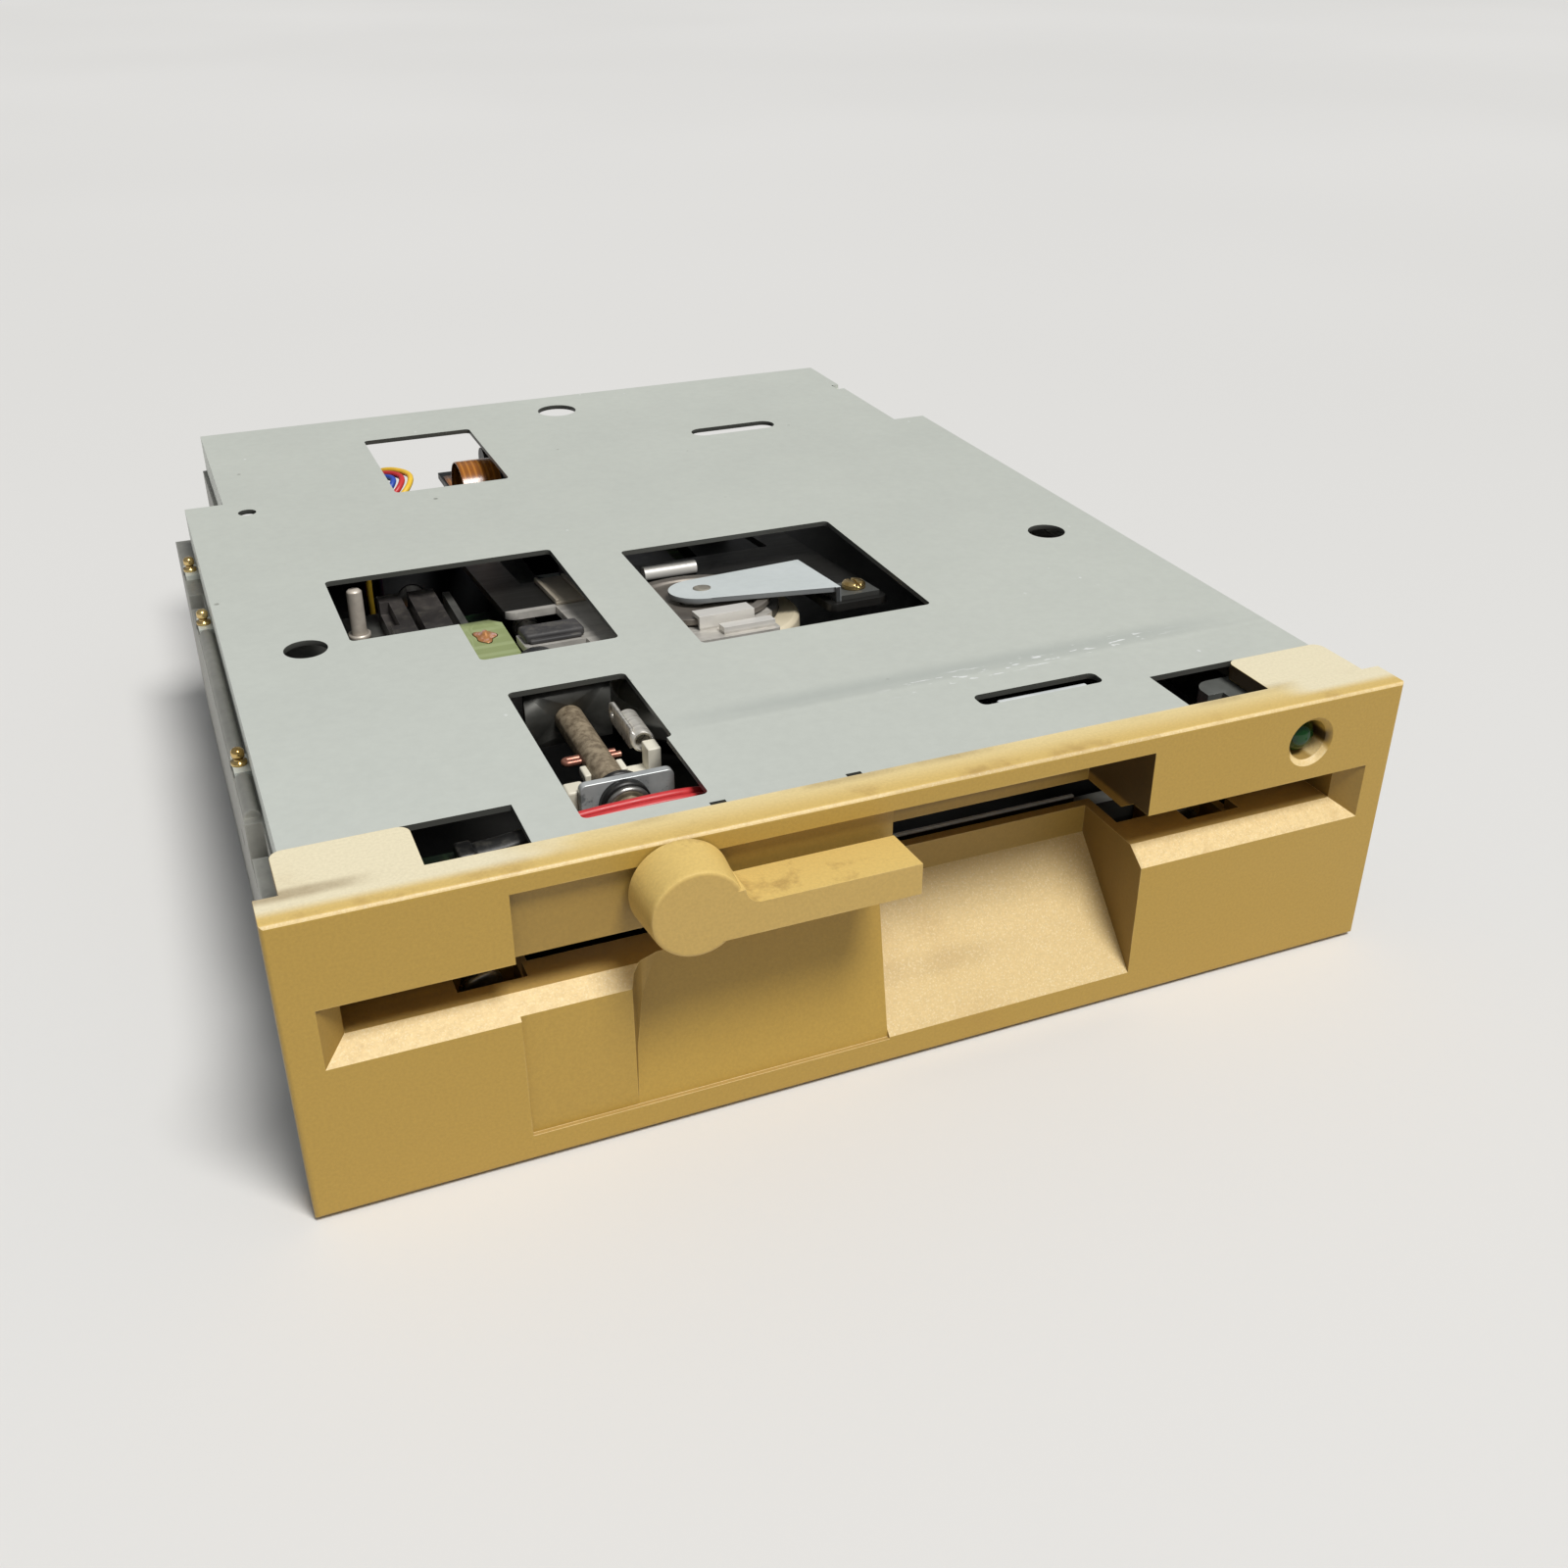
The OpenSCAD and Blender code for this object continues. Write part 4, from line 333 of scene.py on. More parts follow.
    def finish(self, colour, rough, metal=0.0, normal=None, **more):
        self.put(self.shader.inputs["Base Color"], colour)
        self.put(self.shader.inputs["Roughness"], rough)
        self.put(self.shader.inputs["Metallic"], metal)
        if normal is not None:
            self.put(self.shader.inputs["Normal"], normal)
        for key, value in more.items():
            self.put(self.shader.inputs[key.replace("_", " ")], value)
        return self.material


def floor_material():
    g = Graph("floor_pale")
    wide = g.noise(1.6, 2.0)
    colour = g.mix(rgb(224, 223, 220), rgb(229, 228, 226), wide)
    fine = g.noise(500.0, 2.0)
    return g.finish(colour, g.remap(wide, 0.3, 0.7, 0.6, 0.7), 0.0, g.bump(fine, 0.05, 0.0002))


def make_floor():
    """Plain pale floor, just under the part."""
    mesh = bpy.data.meshes.new("floor")
    half = 6.0
    mesh.from_pydata([(-half, -half, 0), (half, -half, 0), (half, half, 0), (-half, half, 0)], [], [(0, 1, 2, 3)])
    floor = bpy.data.objects.new("floor", mesh)
    scene.collection.objects.link(floor)
    mesh.materials.append(floor_material())
    floor.location.z = -0.00002


make_floor()


def make_world():
    """Soft light from all round; low views look past the floor at a backdrop of its colour."""
    world = bpy.data.worlds.new("studio")
    scene.world = world
    world.use_nodes = True
    world_nodes, link = world.node_tree.nodes, world.node_tree.links.new
    sky = world_nodes["Background"]
    sky.inputs[0].default_value = (0.95, 0.97, 1.0, 1.0)
    sky.inputs[1].default_value = 0.26
    far = world_nodes.new("ShaderNodeBackground")
    far.inputs[0].default_value = (0.76, 0.755, 0.74, 1.0)
    far.inputs[1].default_value = 1.0
    ray = world_nodes.new("ShaderNodeLightPath")
    choose = world_nodes.new("ShaderNodeMixShader")
    link(ray.outputs["Is Camera Ray"], choose.inputs[0])
    link(sky.outputs[0], choose.inputs[1])
    link(far.outputs[0], choose.inputs[2])
    link(choose.outputs[0], world_nodes["World Output"].inputs[0])


make_world()


# Materials

def lever_colour(g, patch, up):
    """Golden sides, a top painted lighter as painted light, and brown wear."""
    nz = g.axes(g.facing())[2]
    yellow = g.mix(rgb(190, 158, 86), rgb(200, 166, 92), patch)
    # Faces turned up are painted lighter, as painted light
    colour = g.mix(yellow, rgb(224, 192, 114), g.remap(nz, 0.02, 0.6))
    brown = g.times(g.remap(g.noise(150.0, 5.0, 0.65), 0.56, 0.72), up, 0.45)
    return g.mix(colour, rgb(140, 104, 58), brown)


def bezel_colour(g, patch, up, stain):
    """Golden front partly in painted shade, cream top, slopes painted lighter as a painted highlight, hollows
    darkened brown as painted shade.
    """
    x, y, z = g.axes(g.place())
    nx, _, nz = g.axes(g.facing())
    front = FACE_Y
    # The golden front is partly yellowing and partly painted shade, kept darker than the top
    yellow = g.mix(rgb(177, 143, 62), rgb(185, 150, 68), patch)
    back = g.remap(y, front + 0.0006, front + 0.0052)
    tab = g.remap(y, front + 0.0048, front + 0.0066)
    golden = g.mix(rgb(220, 188, 112), rgb(234, 212, 154), back)
    # The left end and the right end of the top have stayed cream
    left_end = g.remap(g.math("ADD", x, g.times(stain, 0.03)), -0.022, -0.036)
    ends = g.math("MAXIMUM", left_end, g.remap(x, 0.056, 0.062))
    ends = g.times(ends, g.remap(y, front + 0.0014, front + 0.0034))
    cream = g.mix(golden, rgb(238, 227, 194), g.math("MAXIMUM", tab, ends))
    # Upward faces below the top, such as the slot's ledge, are kept golden and darker than the top, as painted shade
    colour = g.mix(yellow, rgb(178, 146, 82), up)
    colour = g.mix(colour, cream, g.times(up, g.remap(z, 0.034, 0.036)))
    # The slot's slopes are painted lighter than the front, as a painted highlight
    slope = g.times(g.remap(nz, 0.22, 0.42), g.fade(nz, 0.86, 0.95))
    colour = g.mix(colour, rgb(233, 206, 148), g.times(slope, 0.95))
    mottle = g.times(slope, g.remap(g.noise(900.0, 3.0, 0.7), 0.42, 0.62), 0.28)
    colour = g.mix(colour, rgb(206, 174, 112), mottle)
    # The notch's floor is a little darker than the slot's slopes, with less of their painted highlight
    notch = g.times(slope, g.inside(x, NOTCH_X[0] * MM, NOTCH_X[1] * MM, 0.0003))
    colour = g.mix(colour, rgb(212, 184, 126), g.times(notch, 0.75))
    wall = g.fade(g.size(nz), 0.1, 0.4)
    # Walls far into the hollows are darkened as painted shade
    deep_wall_shade = g.times(g.remap(y, front + 0.0012, front + 0.006), wall)
    colour = g.mix(colour, rgb(128, 100, 46), g.times(deep_wall_shade, 0.4))
    over = g.remap(z, 0.0284, 0.0292)
    # The hollow under the top flange is darkened as painted shade
    recess_shade = g.times(over, g.remap(y, front + 0.0005, front + 0.002), wall)
    colour = g.mix(colour, rgb(134, 106, 48), g.times(recess_shade, 0.85))
    # Side walls of the hollows are painted browner, and near black up under the top, as painted shade
    flank_shade = g.times(g.remap(g.size(nx), 0.5, 0.9), wall, g.fade(g.size(x), 0.0705, 0.0725))
    colour = g.mix(colour, rgb(112, 84, 34), g.times(flank_shade, 0.75))
    colour = g.mix(colour, rgb(44, 30, 10), g.times(flank_shade, over, 0.85))
    # Grime along the seam with the plate and on the front edge
    seam = g.times(up, g.inside(y, front + 0.0044, front + 0.0064, 0.0007), g.remap(stain, 0.42, 0.7))
    colour = g.mix(colour, rgb(136, 110, 68), g.times(seam, 0.6))
    blots = g.remap(g.noise(95.0, 5.0, 0.65), 0.52, 0.7)
    spill = g.times(up, g.fade(y, front + 0.0002, front + 0.0042), blots)
    colour = g.mix(colour, rgb(170, 134, 76), g.times(spill, 0.55))
    # Bright specks on the slopes are a painted glint
    painted_glint = g.times(slope, g.remap(g.noise(4200.0, 1.0, 0.5), 0.55, 0.68), 0.2)
    return g.mix(colour, rgb(255, 246, 214), painted_glint)


def beige_plastic(name, lever=False):
    """Yellowed moulding with a fine grain, stains, and pale edges that are partly wear and partly a painted
    highlight.
    """
    g = Graph(name)
    stain = g.noise(38.0, 6.0, 0.6)
    patch = g.noise(11.0, 3.0, 0.5)
    grain = g.noise(2600.0, 2.0, 0.6)
    up = g.remap(g.axes(g.facing())[2], 0.55, 0.95)
    colour = lever_colour(g, patch, up) if lever else bezel_colour(g, patch, up, stain)
    colour = g.shade(colour, g.spread(grain, 0.94, 1.05))
    colour = g.mix(colour, rgb(168, 126, 66), g.times(g.remap(stain, 0.6, 0.82), 0.25))
    # Pale edges: partly wear, partly a painted highlight
    worn = g.times(g.edge(0.0004), g.remap(g.noise(260.0, 4.0), 0.4, 0.65), 0.3)
    colour = g.mix(colour, rgb(236, 210, 146), worn)
    rough = g.remap(stain, 0.3, 0.8, 0.46, 0.6, False)
    normal = g.bump(g.noise(1500.0, 3.0, 0.6), 0.22, 0.00012)
    return g.finish(colour, rough, 0.0, normal)


def plate_metal(name):
    """Dull plated sheet in pale grey-green, with a crease, scuffs and specks, and painted shade on its cut edges, its
    underside and behind the crease.
    """
    g = Graph(name)
    x, y, _ = g.axes(g.place())
    nz = g.axes(g.facing())[2]
    wide = g.noise(9.0, 3.0, 0.5)
    fine = g.noise(700.0, 3.0, 0.6)
    colour = g.mix(rgb(201, 205, 196), rgb(211, 215, 206), wide)
    # A little lighter towards the front left
    colour = g.mix(colour, rgb(212, 217, 210), g.times(g.remap(g.math("ADD", x, y), -0.02, -0.16), 0.5))
    colour = g.shade(colour, g.spread(fine, 0.975, 1.02))
    normal = g.bump(g.noise(900.0, 3.0, 0.6), 0.06, 0.0001)
    rough = g.spread(g.noise(60.0, 4.0), 0.4, 0.52)
    line = g.math("SUBTRACT", y, CREASE_Y)
    reach = g.remap(x, -0.022, -0.014)
    ridge = g.times(g.inside(line, -0.0003, 0.0003, 0.0009), reach)
    normal = g.bump(ridge, 0.35, 0.0002, normal)
    # A band just behind the crease is darkened as painted shade
    shade = g.times(g.inside(line, 0.0006, 0.004, 0.0018), g.remap(x, -0.03, 0.0), g.fade(x, 0.05, 0.07))
    colour = g.mix(colour, rgb(172, 178, 172), g.times(shade, 0.45))
    # A trail of short pale scuffs along the crease
    drift = g.times(g.math("SUBTRACT", x, 0.028), 0.06)
    trail = g.inside(g.math("SUBTRACT", line, drift), -0.0012, 0.0022, 0.0004)
    dash = g.remap(g.noise(620.0, 2.0, 0.5, g.stretch(g.place(), (0.6, 2.4, 1.0))), 0.6, 0.65)
    scuff = g.times(trail, g.inside(x, 0.012, 0.052, 0.006), dash)
    colour = g.mix(colour, rgb(243, 245, 243), g.times(scuff, 0.9))
    speck = g.fade(g.cells(170.0), 0.05, 0.085)
    rare = g.remap(g.noise(70.0, 2.0), 0.6, 0.68)
    colour = g.mix(colour, rgb(120, 120, 108), g.times(speck, rare, 0.7))
    pale = g.times(g.fade(g.cells(230.0, g.stretch(g.place(), (1.0, 0.7, 1.0))), 0.04, 0.07),
                   g.remap(g.noise(55.0, 2.0, 0.5), 0.58, 0.66))
    colour = g.mix(colour, rgb(236, 239, 236), g.times(pale, 0.7))
    # Cut edges of the windows and holes are darkened as painted shade
    cut = g.times(g.fade(g.size(nz), 0.35, 0.65), g.fade(g.size(x), 0.0630, 0.0632))
    colour = g.mix(colour, rgb(58, 58, 54), g.times(cut, 0.92))
    # Faces turned down are darkened as painted shade
    under = g.fade(nz, -0.9, -0.6)
    colour = g.mix(colour, rgb(128, 131, 124), g.times(under, 0.7))
    return g.finish(colour, rough, 0.15, normal)


def leaf_metal(name):
    """Pale plated leaf, whose side faces, bend and foot are darkened as painted shade."""
    g = Graph(name)
    x = g.axes(g.place())[0]
    nz = g.axes(g.facing())[2]
    wide = g.noise(60.0, 3.0, 0.5)
    colour = g.mix(rgb(212, 220, 218), rgb(228, 234, 233), wide)
    colour = g.shade(colour, g.spread(g.noise(700.0, 3.0, 0.6), 0.97, 1.02))
    # Side faces, the foot and the bend are darkened as painted shade
    side = g.fade(g.size(nz), 0.4, 0.7)
    colour = g.mix(colour, rgb(104, 106, 108), g.times(side, 0.8))
    foot = g.remap(x, 0.0203, 0.0205)
    colour = g.mix(colour, rgb(46, 45, 40), g.times(foot, 0.9))
    bend = g.times(side, g.remap(x, 0.0190, 0.0194), g.fade(x, 0.0201, 0.0202))
    colour = g.mix(colour, rgb(40, 40, 40), g.times(bend, 0.8))
    return g.finish(colour, g.spread(wide, 0.36, 0.48), 0.15, g.bump(wide, 0.05, 0.0001))


def metal(name, dark, light, rough, metallic=0.9, streak=(1, 1, 1), scale=260.0, spots=None, bump=0.08):
    """Bare metal with fine streaks, and spots of tarnish where asked."""
    g = Graph(name)
    lines = g.noise(scale, 4.0, 0.6, g.stretch(g.place(), streak))
    colour = g.mix(rgb(*dark), rgb(*light), g.contrast(lines))
    if spots:
        mask = g.remap(g.noise(spots[1], 5.0, 0.65), spots[2], spots[2] + 0.1)
        colour = g.mix(colour, rgb(*spots[0]), mask)
        metallic = g.blend(mask, metallic, metallic * 0.4)
    # Edges are lightened as a painted highlight
    colour = g.mix(colour, lighter(light, 25), g.times(g.edge(0.0003), 0.4))
    return g.finish(colour, g.spread(lines, rough - 0.06, rough + 0.08), metallic,
                    g.bump(lines, bump, 0.0001))


def closed_height(g):
    """Height above the closed clamp's pivot, for the pieces that swing with it, in metres."""
    _, y, z = g.axes(g.place())
    rise = g.times(g.math("SUBTRACT", z, CLAMP_Z * MM), math.cos(CLAMP_TILT))
    return g.math("ADD", rise, g.times(g.math("SUBTRACT", y, FACE_Y + CLAMP_Y * MM), math.sin(CLAMP_TILT)))


def carrier_metal(name):
    """Clamp carrier: bright sheet round the hub, dark behind it and on its right side."""
    g = Graph(name)
    x, y, _ = g.axes(g.place())
    lines = g.noise(240.0, 4.0, 0.6, g.stretch(g.place(), (1, 4, 1)))
    bright = g.mix(rgb(186, 182, 174), rgb(210, 206, 198), g.contrast(lines))
    lip = g.remap(closed_height(g), -0.0016, -0.0013)
    bright = g.mix(bright, rgb(236, 233, 226), g.times(lip, 0.85))
    black = g.mix(rgb(22, 22, 21), rgb(40, 39, 36), lines)
    # The rolled lip behind the hub is kept bright
    roll = g.times(g.inside(x, -0.0042, 0.0062, 0.0002), g.inside(y, FACE_Y + 0.0865, FACE_Y + 0.0915, 0.0002), lip)
    back = g.remap(y, FACE_Y + 0.0842, FACE_Y + 0.0846)
    right = g.remap(x, 0.0088, 0.0092)
    dark = g.times(g.math("MAXIMUM", back, right), g.invert(roll))
    colour = g.mix(bright, black, dark)
    return g.finish(colour, g.spread(lines, 0.36, 0.48), g.blend(dark, 0.3, 0.1),
                    g.bump(lines, 0.06, 0.0001))


def hub_plastic(name):
    """Cream hub whose rim under the leaf is a grey metal disc."""
    g = Graph(name)
    wide = g.noise(90.0, 4.0, 0.6)
    cream = g.mix(rgb(206, 194, 166), rgb(226, 214, 186), g.contrast(wide))
    cap = g.remap(closed_height(g), -0.0018, -0.0016)
    grey = g.mix(rgb(112, 104, 96), rgb(150, 143, 134), g.remap(wide, 0.35, 0.65))
    colour = g.mix(cream, grey, cap)
    return g.finish(colour, g.spread(wide, 0.34, 0.46), g.blend(cap, 0.0, 0.6),
                    g.bump(g.noise(1800.0, 2.0), 0.1, 0.00006))


def plastic(name, dark, light, rough, grain=1800.0, dust=0.0, **more):
    """Moulded plastic with a fine grain, and dust on what faces up."""
    g = Graph(name)
    wide = g.noise(70.0, 4.0, 0.6)
    colour = g.mix(rgb(*dark), rgb(*light), g.contrast(wide))
    if dust:
        nz = g.axes(g.facing())[2]
        mask = g.times(g.remap(nz, 0.4, 0.9), g.remap(g.noise(420.0, 4.0, 0.7), 0.45, 0.7), dust)
        colour = g.mix(colour, rgb(150, 145, 132), mask)
    # Edges are lightened as a painted highlight
    colour = g.mix(colour, lighter(light, 40), g.times(g.edge(0.00025), 0.3))
    return g.finish(colour, g.spread(wide, rough - 0.05, rough + 0.07), 0.0,
                    g.bump(g.noise(grain, 2.0), 0.12, 0.00006), **more)


def cast_metal(name, darken_inside=False):
    """Cast metal: dull grey with a pebbled skin and edges lightened as a painted highlight; the frame's inside is
    darkened as painted shade.
    """
    g = Graph(name)
    x, y, z = g.axes(g.place())
    nz = g.axes(g.facing())[2]
    skin = g.noise(650.0, 4.0, 0.65)
    wide = g.noise(24.0, 4.0, 0.6)
    colour = g.mix(rgb(142, 142, 135), rgb(174, 173, 165), g.contrast(wide))
    colour = g.shade(colour, g.spread(skin, 0.9, 1.07))
    grime = g.remap(g.noise(85.0, 5.0, 0.7), 0.6, 0.75)
    colour = g.mix(colour, rgb(96, 92, 82), g.times(grime, 0.35))
    # Edges are lightened as a painted highlight
    colour = g.mix(colour, rgb(214, 214, 208), g.times(g.edge(0.0006), 0.4))
    shine = 0.5
    if darken_inside:
        wide_part = g.times(g.fade(g.size(x), WIDE_IN - 0.0002, WIDE_IN + 0.0002),
                            g.fade(y, WIDE_END - 0.0002, WIDE_END + 0.0002))
        rear_part = g.times(g.fade(g.size(x), REAR_IN - 0.0001, REAR_IN + 0.0001),
                            g.fade(y, REAR_END - 0.0002, REAR_END + 0.0001))
        within = g.times(g.math("MAXIMUM", wide_part, rear_part), g.remap(z, 0.0146, 0.0149))
        # The frame's inside is painted near black, and its floor darker still, as painted shade
        inside_shade = g.mix(rgb(22, 21, 18), rgb(34, 32, 27), wide)
        # The front wall's upper edge is left out of the painted shade, in the plain cast colour
        rail = g.times(g.fade(y, FACE_Y + 0.0186, FACE_Y + 0.019), g.inside(z, 0.0218, 0.0242, 0.0002),
                       g.remap(nz, 0.6, 0.9))
        within = g.times(within, g.invert(rail))
        colour = g.mix(colour, inside_shade, g.times(within, 0.95))
        deck_shade = g.times(within, g.fade(z, 0.0184, 0.0188))
        colour = g.mix(colour, rgb(9, 9, 8), g.times(deck_shade, 0.85))
        shine = g.blend(within, 0.5, 0.0)
    return g.finish(colour, g.spread(wide, 0.42, 0.56), shine, g.bump(skin, 0.3, 0.00015))


def circuit_board(name, mask_dark, mask_light, edge=(126, 128, 80), ragged=False):
    """Board with faint tracks under its mask, bare glass at its edges."""
    g = Graph(name)
    x, y, _ = g.axes(g.place())

    def tracks(along, noise_scale, shift, count):
        """Lines across an axis, which jump sideways where the noise changes."""
        jump = g.times(g.remap(g.noise(noise_scale, 0.0), 0.47, 0.53), shift)
        return g.inside(g.math("FRACT", g.times(g.math("ADD", along, jump), count)), 0.25, 0.6, 0.06)

    pick = g.remap(g.noise(45.0, 1.0), 0.48, 0.52)
    lines = g.math("ADD", g.times(tracks(y, 90.0, 0.004, 330.0), pick),
                   g.times(tracks(x, 70.0, 0.005, 300.0), g.invert(pick)))
    colour = g.mix(rgb(*mask_dark), rgb(*mask_light), lines)
    pads = g.fade(g.cells(190.0), 0.1, 0.14)
    colour = g.mix(colour, rgb(176, 172, 160), g.times(pads, g.remap(g.noise(50.0, 1.0), 0.5, 0.56)))
    if ragged:
        worn = g.times(g.remap(y, FACE_Y + 0.0155, FACE_Y + 0.0125), g.remap(g.noise(520.0, 4.0, 0.7), 0.46, 0.56))
        colour = g.mix(colour, rgb(112, 78, 34), g.times(worn, 0.8))
    nz = g.axes(g.facing())[2]
    side = g.fade(g.size(nz), 0.4, 0.6)
    colour = g.mix(colour, rgb(*edge), side)
    return g.finish(colour, g.spread(g.noise(120.0, 3.0), 0.3, 0.42), 0.0, g.bump(lines, 0.3, 0.00005))


def clear_lens(name):
    """Unlit green lens with a faint swirl."""
    g = Graph(name)
    swirl = g.noise(420.0, 3.0)
    colour = g.mix(rgb(6, 42, 10), rgb(14, 68, 20), g.contrast(swirl))
    return g.finish(colour, g.spread(swirl, 0.06, 0.14), 0.0, g.bump(swirl, 0.05, 0.0001),
                    Coat_Weight=0.25, Coat_Roughness=0.08, Specular_IOR_Level=0.3)


def insulation(name, colour):
    """Smooth wire insulation with a slight mottle."""
    g = Graph(name)
    fine = g.noise(900.0, 3.0)
    mottled = g.mix(rgb(*colour), rgb(*[min(255, int(c * 1.12) + 8) for c in colour]), fine)
    return g.finish(mottled, g.spread(fine, 0.34, 0.46), 0.0, g.bump(fine, 0.05, 0.00005))


def mottled_shaft(name):
    """Brown-grey sintered shaft with a fine mottle."""
    g = Graph(name)
    blot = g.noise(900.0, 5.0, 0.7)
    band = g.noise(90.0, 3.0, 0.5)
    colour = g.mix(rgb(112, 98, 78), rgb(176, 160, 134), g.contrast(blot))
    colour = g.mix(colour, rgb(196, 186, 164), g.times(g.remap(band, 0.55, 0.75), 0.4))
    return g.finish(colour, g.spread(blot, 0.42, 0.6), 0.2, g.bump(blot, 0.2, 0.0001))


def amber_film(name):
    """Amber film with copper lines showing through."""
    g = Graph(name)
    x = g.axes(g.place())[0]
    lines = g.inside(g.math("FRACT", g.times(x, 900.0)), 0.3, 0.65, 0.08)
    colour = g.mix(rgb(150, 88, 20), rgb(186, 118, 40), lines)
    return g.finish(colour, g.spread(g.noise(200.0, 3.0), 0.22, 0.32), 0.0, g.bump(lines, 0.2, 0.00004),
                    Coat_Weight=0.4, Coat_Roughness=0.15)


def rail_metal(name):
    """Strip painted near black as painted shade, with a near-white top edge as a painted highlight."""
    g = Graph(name)
    z = g.axes(g.place())[2]
    lines = g.noise(420.0, 3.0, 0.6, g.stretch(g.place(), (1, 6, 1)))
    # The near-white top edge is a painted highlight; the rest of the strip is painted shade
    bare = g.remap(z, 0.0226, 0.0228)
    dark = g.mix(rgb(14, 14, 13), rgb(24, 23, 22), lines)
    colour = g.mix(dark, g.mix(rgb(240, 240, 235), rgb(252, 252, 248), lines), bare)
    return g.finish(colour, g.spread(lines, 0.34, 0.46), g.times(bare, 0.3), g.bump(lines, 0.05, 0.00005))


# The bands repeat over this length in millimetres, so each resistor starts at a multiple of it
BAND_REPEAT = 8.0


def banded_resistor(name):
    """Tan resistor bodies with colour bands and tinned ends."""
    g = Graph(name)
    x = g.axes(g.place())[0]
    phase = g.math("FRACT", g.times(x, 1.0 / (BAND_REPEAT * MM)))
    wide = g.noise(300.0, 3.0)
    colour = g.mix(rgb(186, 150, 100), rgb(204, 170, 118), wide)
    bands = ((0.24, 0.3, (120, 60, 30)), (0.36, 0.42, (30, 30, 30)), (0.48, 0.54, (200, 70, 40)),
             (0.66, 0.71, (190, 150, 60)))
    for low, high, band in bands:
        colour = g.mix(colour, rgb(*band), g.inside(phase, low, high, 0.01))
    return g.finish(colour, g.spread(wide, 0.3, 0.4), 0.0, g.bump(wide, 0.05, 0.00005))


M = {
    "bezel": beige_plastic("beige_bezel"),
    "lever": beige_plastic("beige_lever", lever=True),
    "plate": plate_metal("plate_sheet"),
    "leaf": leaf_metal("leaf_sheet"),
    "cast": cast_metal("cast_frame", darken_inside=True),
    "cast_part": cast_metal("cast_part"),
    "steel": metal("turned_steel", (150, 148, 142), (206, 205, 200), 0.3),
    "bright": metal("bright_steel", (212, 207, 196), (244, 240, 230), 0.3, 0.55, streak=(1, 6, 1)),
    "post": metal("post_steel", (188, 178, 164), (224, 214, 200), 0.4, 0.4),
    "zinc": metal("zinc_sheet", (176, 180, 180), (214, 217, 216), 0.36, 0.45, scale=160.0,
                  spots=((122, 126, 126), 420.0, 0.58)),
    "leaf_plain": metal("lip_sheet", (206, 211, 210), (228, 232, 231), 0.4, 0.2),
    "shelf": metal("shelf_sheet", (84, 85, 82), (124, 124, 119), 0.42, 0.6, scale=120.0),
    "hanger": metal("hanger_sheet", (60, 60, 56), (92, 91, 86), 0.46, 0.5, scale=140.0),
    "dark_steel": metal("dull_steel", (70, 70, 68), (112, 110, 104), 0.42, 0.8),
    "rivet": metal("leaf_rivet_head", (150, 144, 132), (176, 170, 156), 0.45, 0.4),
    "brass": metal("brass", (184, 150, 86), (236, 208, 146), 0.24, 0.95, spots=((132, 98, 52), 500.0, 0.64)),
    "gold": metal("gold_flash", (206, 160, 74), (238, 200, 118), 0.24, 0.95),
    "copper": metal("copper_wire", (128, 76, 62), (190, 136, 116), 0.34, 0.6),
    "tin": metal("tinned_pin", (176, 176, 172), (222, 222, 218), 0.26),
    "solder": metal("copper_pad", (196, 120, 70), (226, 168, 110), 0.35, 0.55, scale=700.0,
                    spots=((222, 178, 168), 600.0, 0.5)),
    "black": plastic("black_moulding", (16, 16, 16), (30, 30, 29), 0.42, dust=0.18),
    "rubber": plastic("grey_rubber", (50, 49, 50), (70, 68, 68), 0.6, grain=1200.0, dust=0.25),
    "sensor": plastic("sensor_moulding", (40, 38, 37), (74, 70, 68), 0.3, dust=0.15),
    "chip": plastic("chip_case", (20, 20, 21), (34, 34, 34), 0.5, dust=0.1),
    "white": plastic("white_moulding", (224, 217, 196), (242, 237, 220), 0.4),
    "stone": plastic("grey_moulding", (150, 140, 122), (186, 176, 158), 0.42),
    "smoke": plastic("smoky_moulding", (64, 66, 64), (104, 106, 102), 0.22, Coat_Weight=0.3),
    "carriage": plastic("carriage_moulding", (34, 35, 37), (58, 59, 60), 0.45, dust=0.15),
    "ceramic": plastic("head_ceramic", (30, 30, 33), (52, 52, 56), 0.15, Coat_Weight=0.5),
    "magnet": plastic("ferrite", (44, 42, 40), (66, 63, 60), 0.55),
    "can": metal("motor_can", (58, 58, 60), (92, 92, 94), 0.38, 0.6),
    "board": circuit_board("board_green", (22, 62, 30), (44, 96, 50)),
    "front_board": circuit_board("board_dark", (18, 30, 20), (30, 46, 28), edge=(104, 72, 34), ragged=True),
    "index_board": circuit_board("board_pale", (146, 158, 106), (160, 172, 122), edge=(196, 196, 130)),
    "lens": clear_lens("lens_green"),
    "hub": hub_plastic("hub_cream"),
    "carrier": carrier_metal("carrier_sheet"),
    "red": insulation("red_lead", (190, 48, 50)),
    "blue": insulation("blue_lead", (44, 76, 168)),
    "yellow": insulation("yellow_lead", (232, 184, 56)),
    "shaft": mottled_shaft("worn_shaft"),
    "film": amber_film("amber_film"),
    "resistor": banded_resistor("resistor_body"),
    "rail": rail_metal("slot_rail_edge"),
}

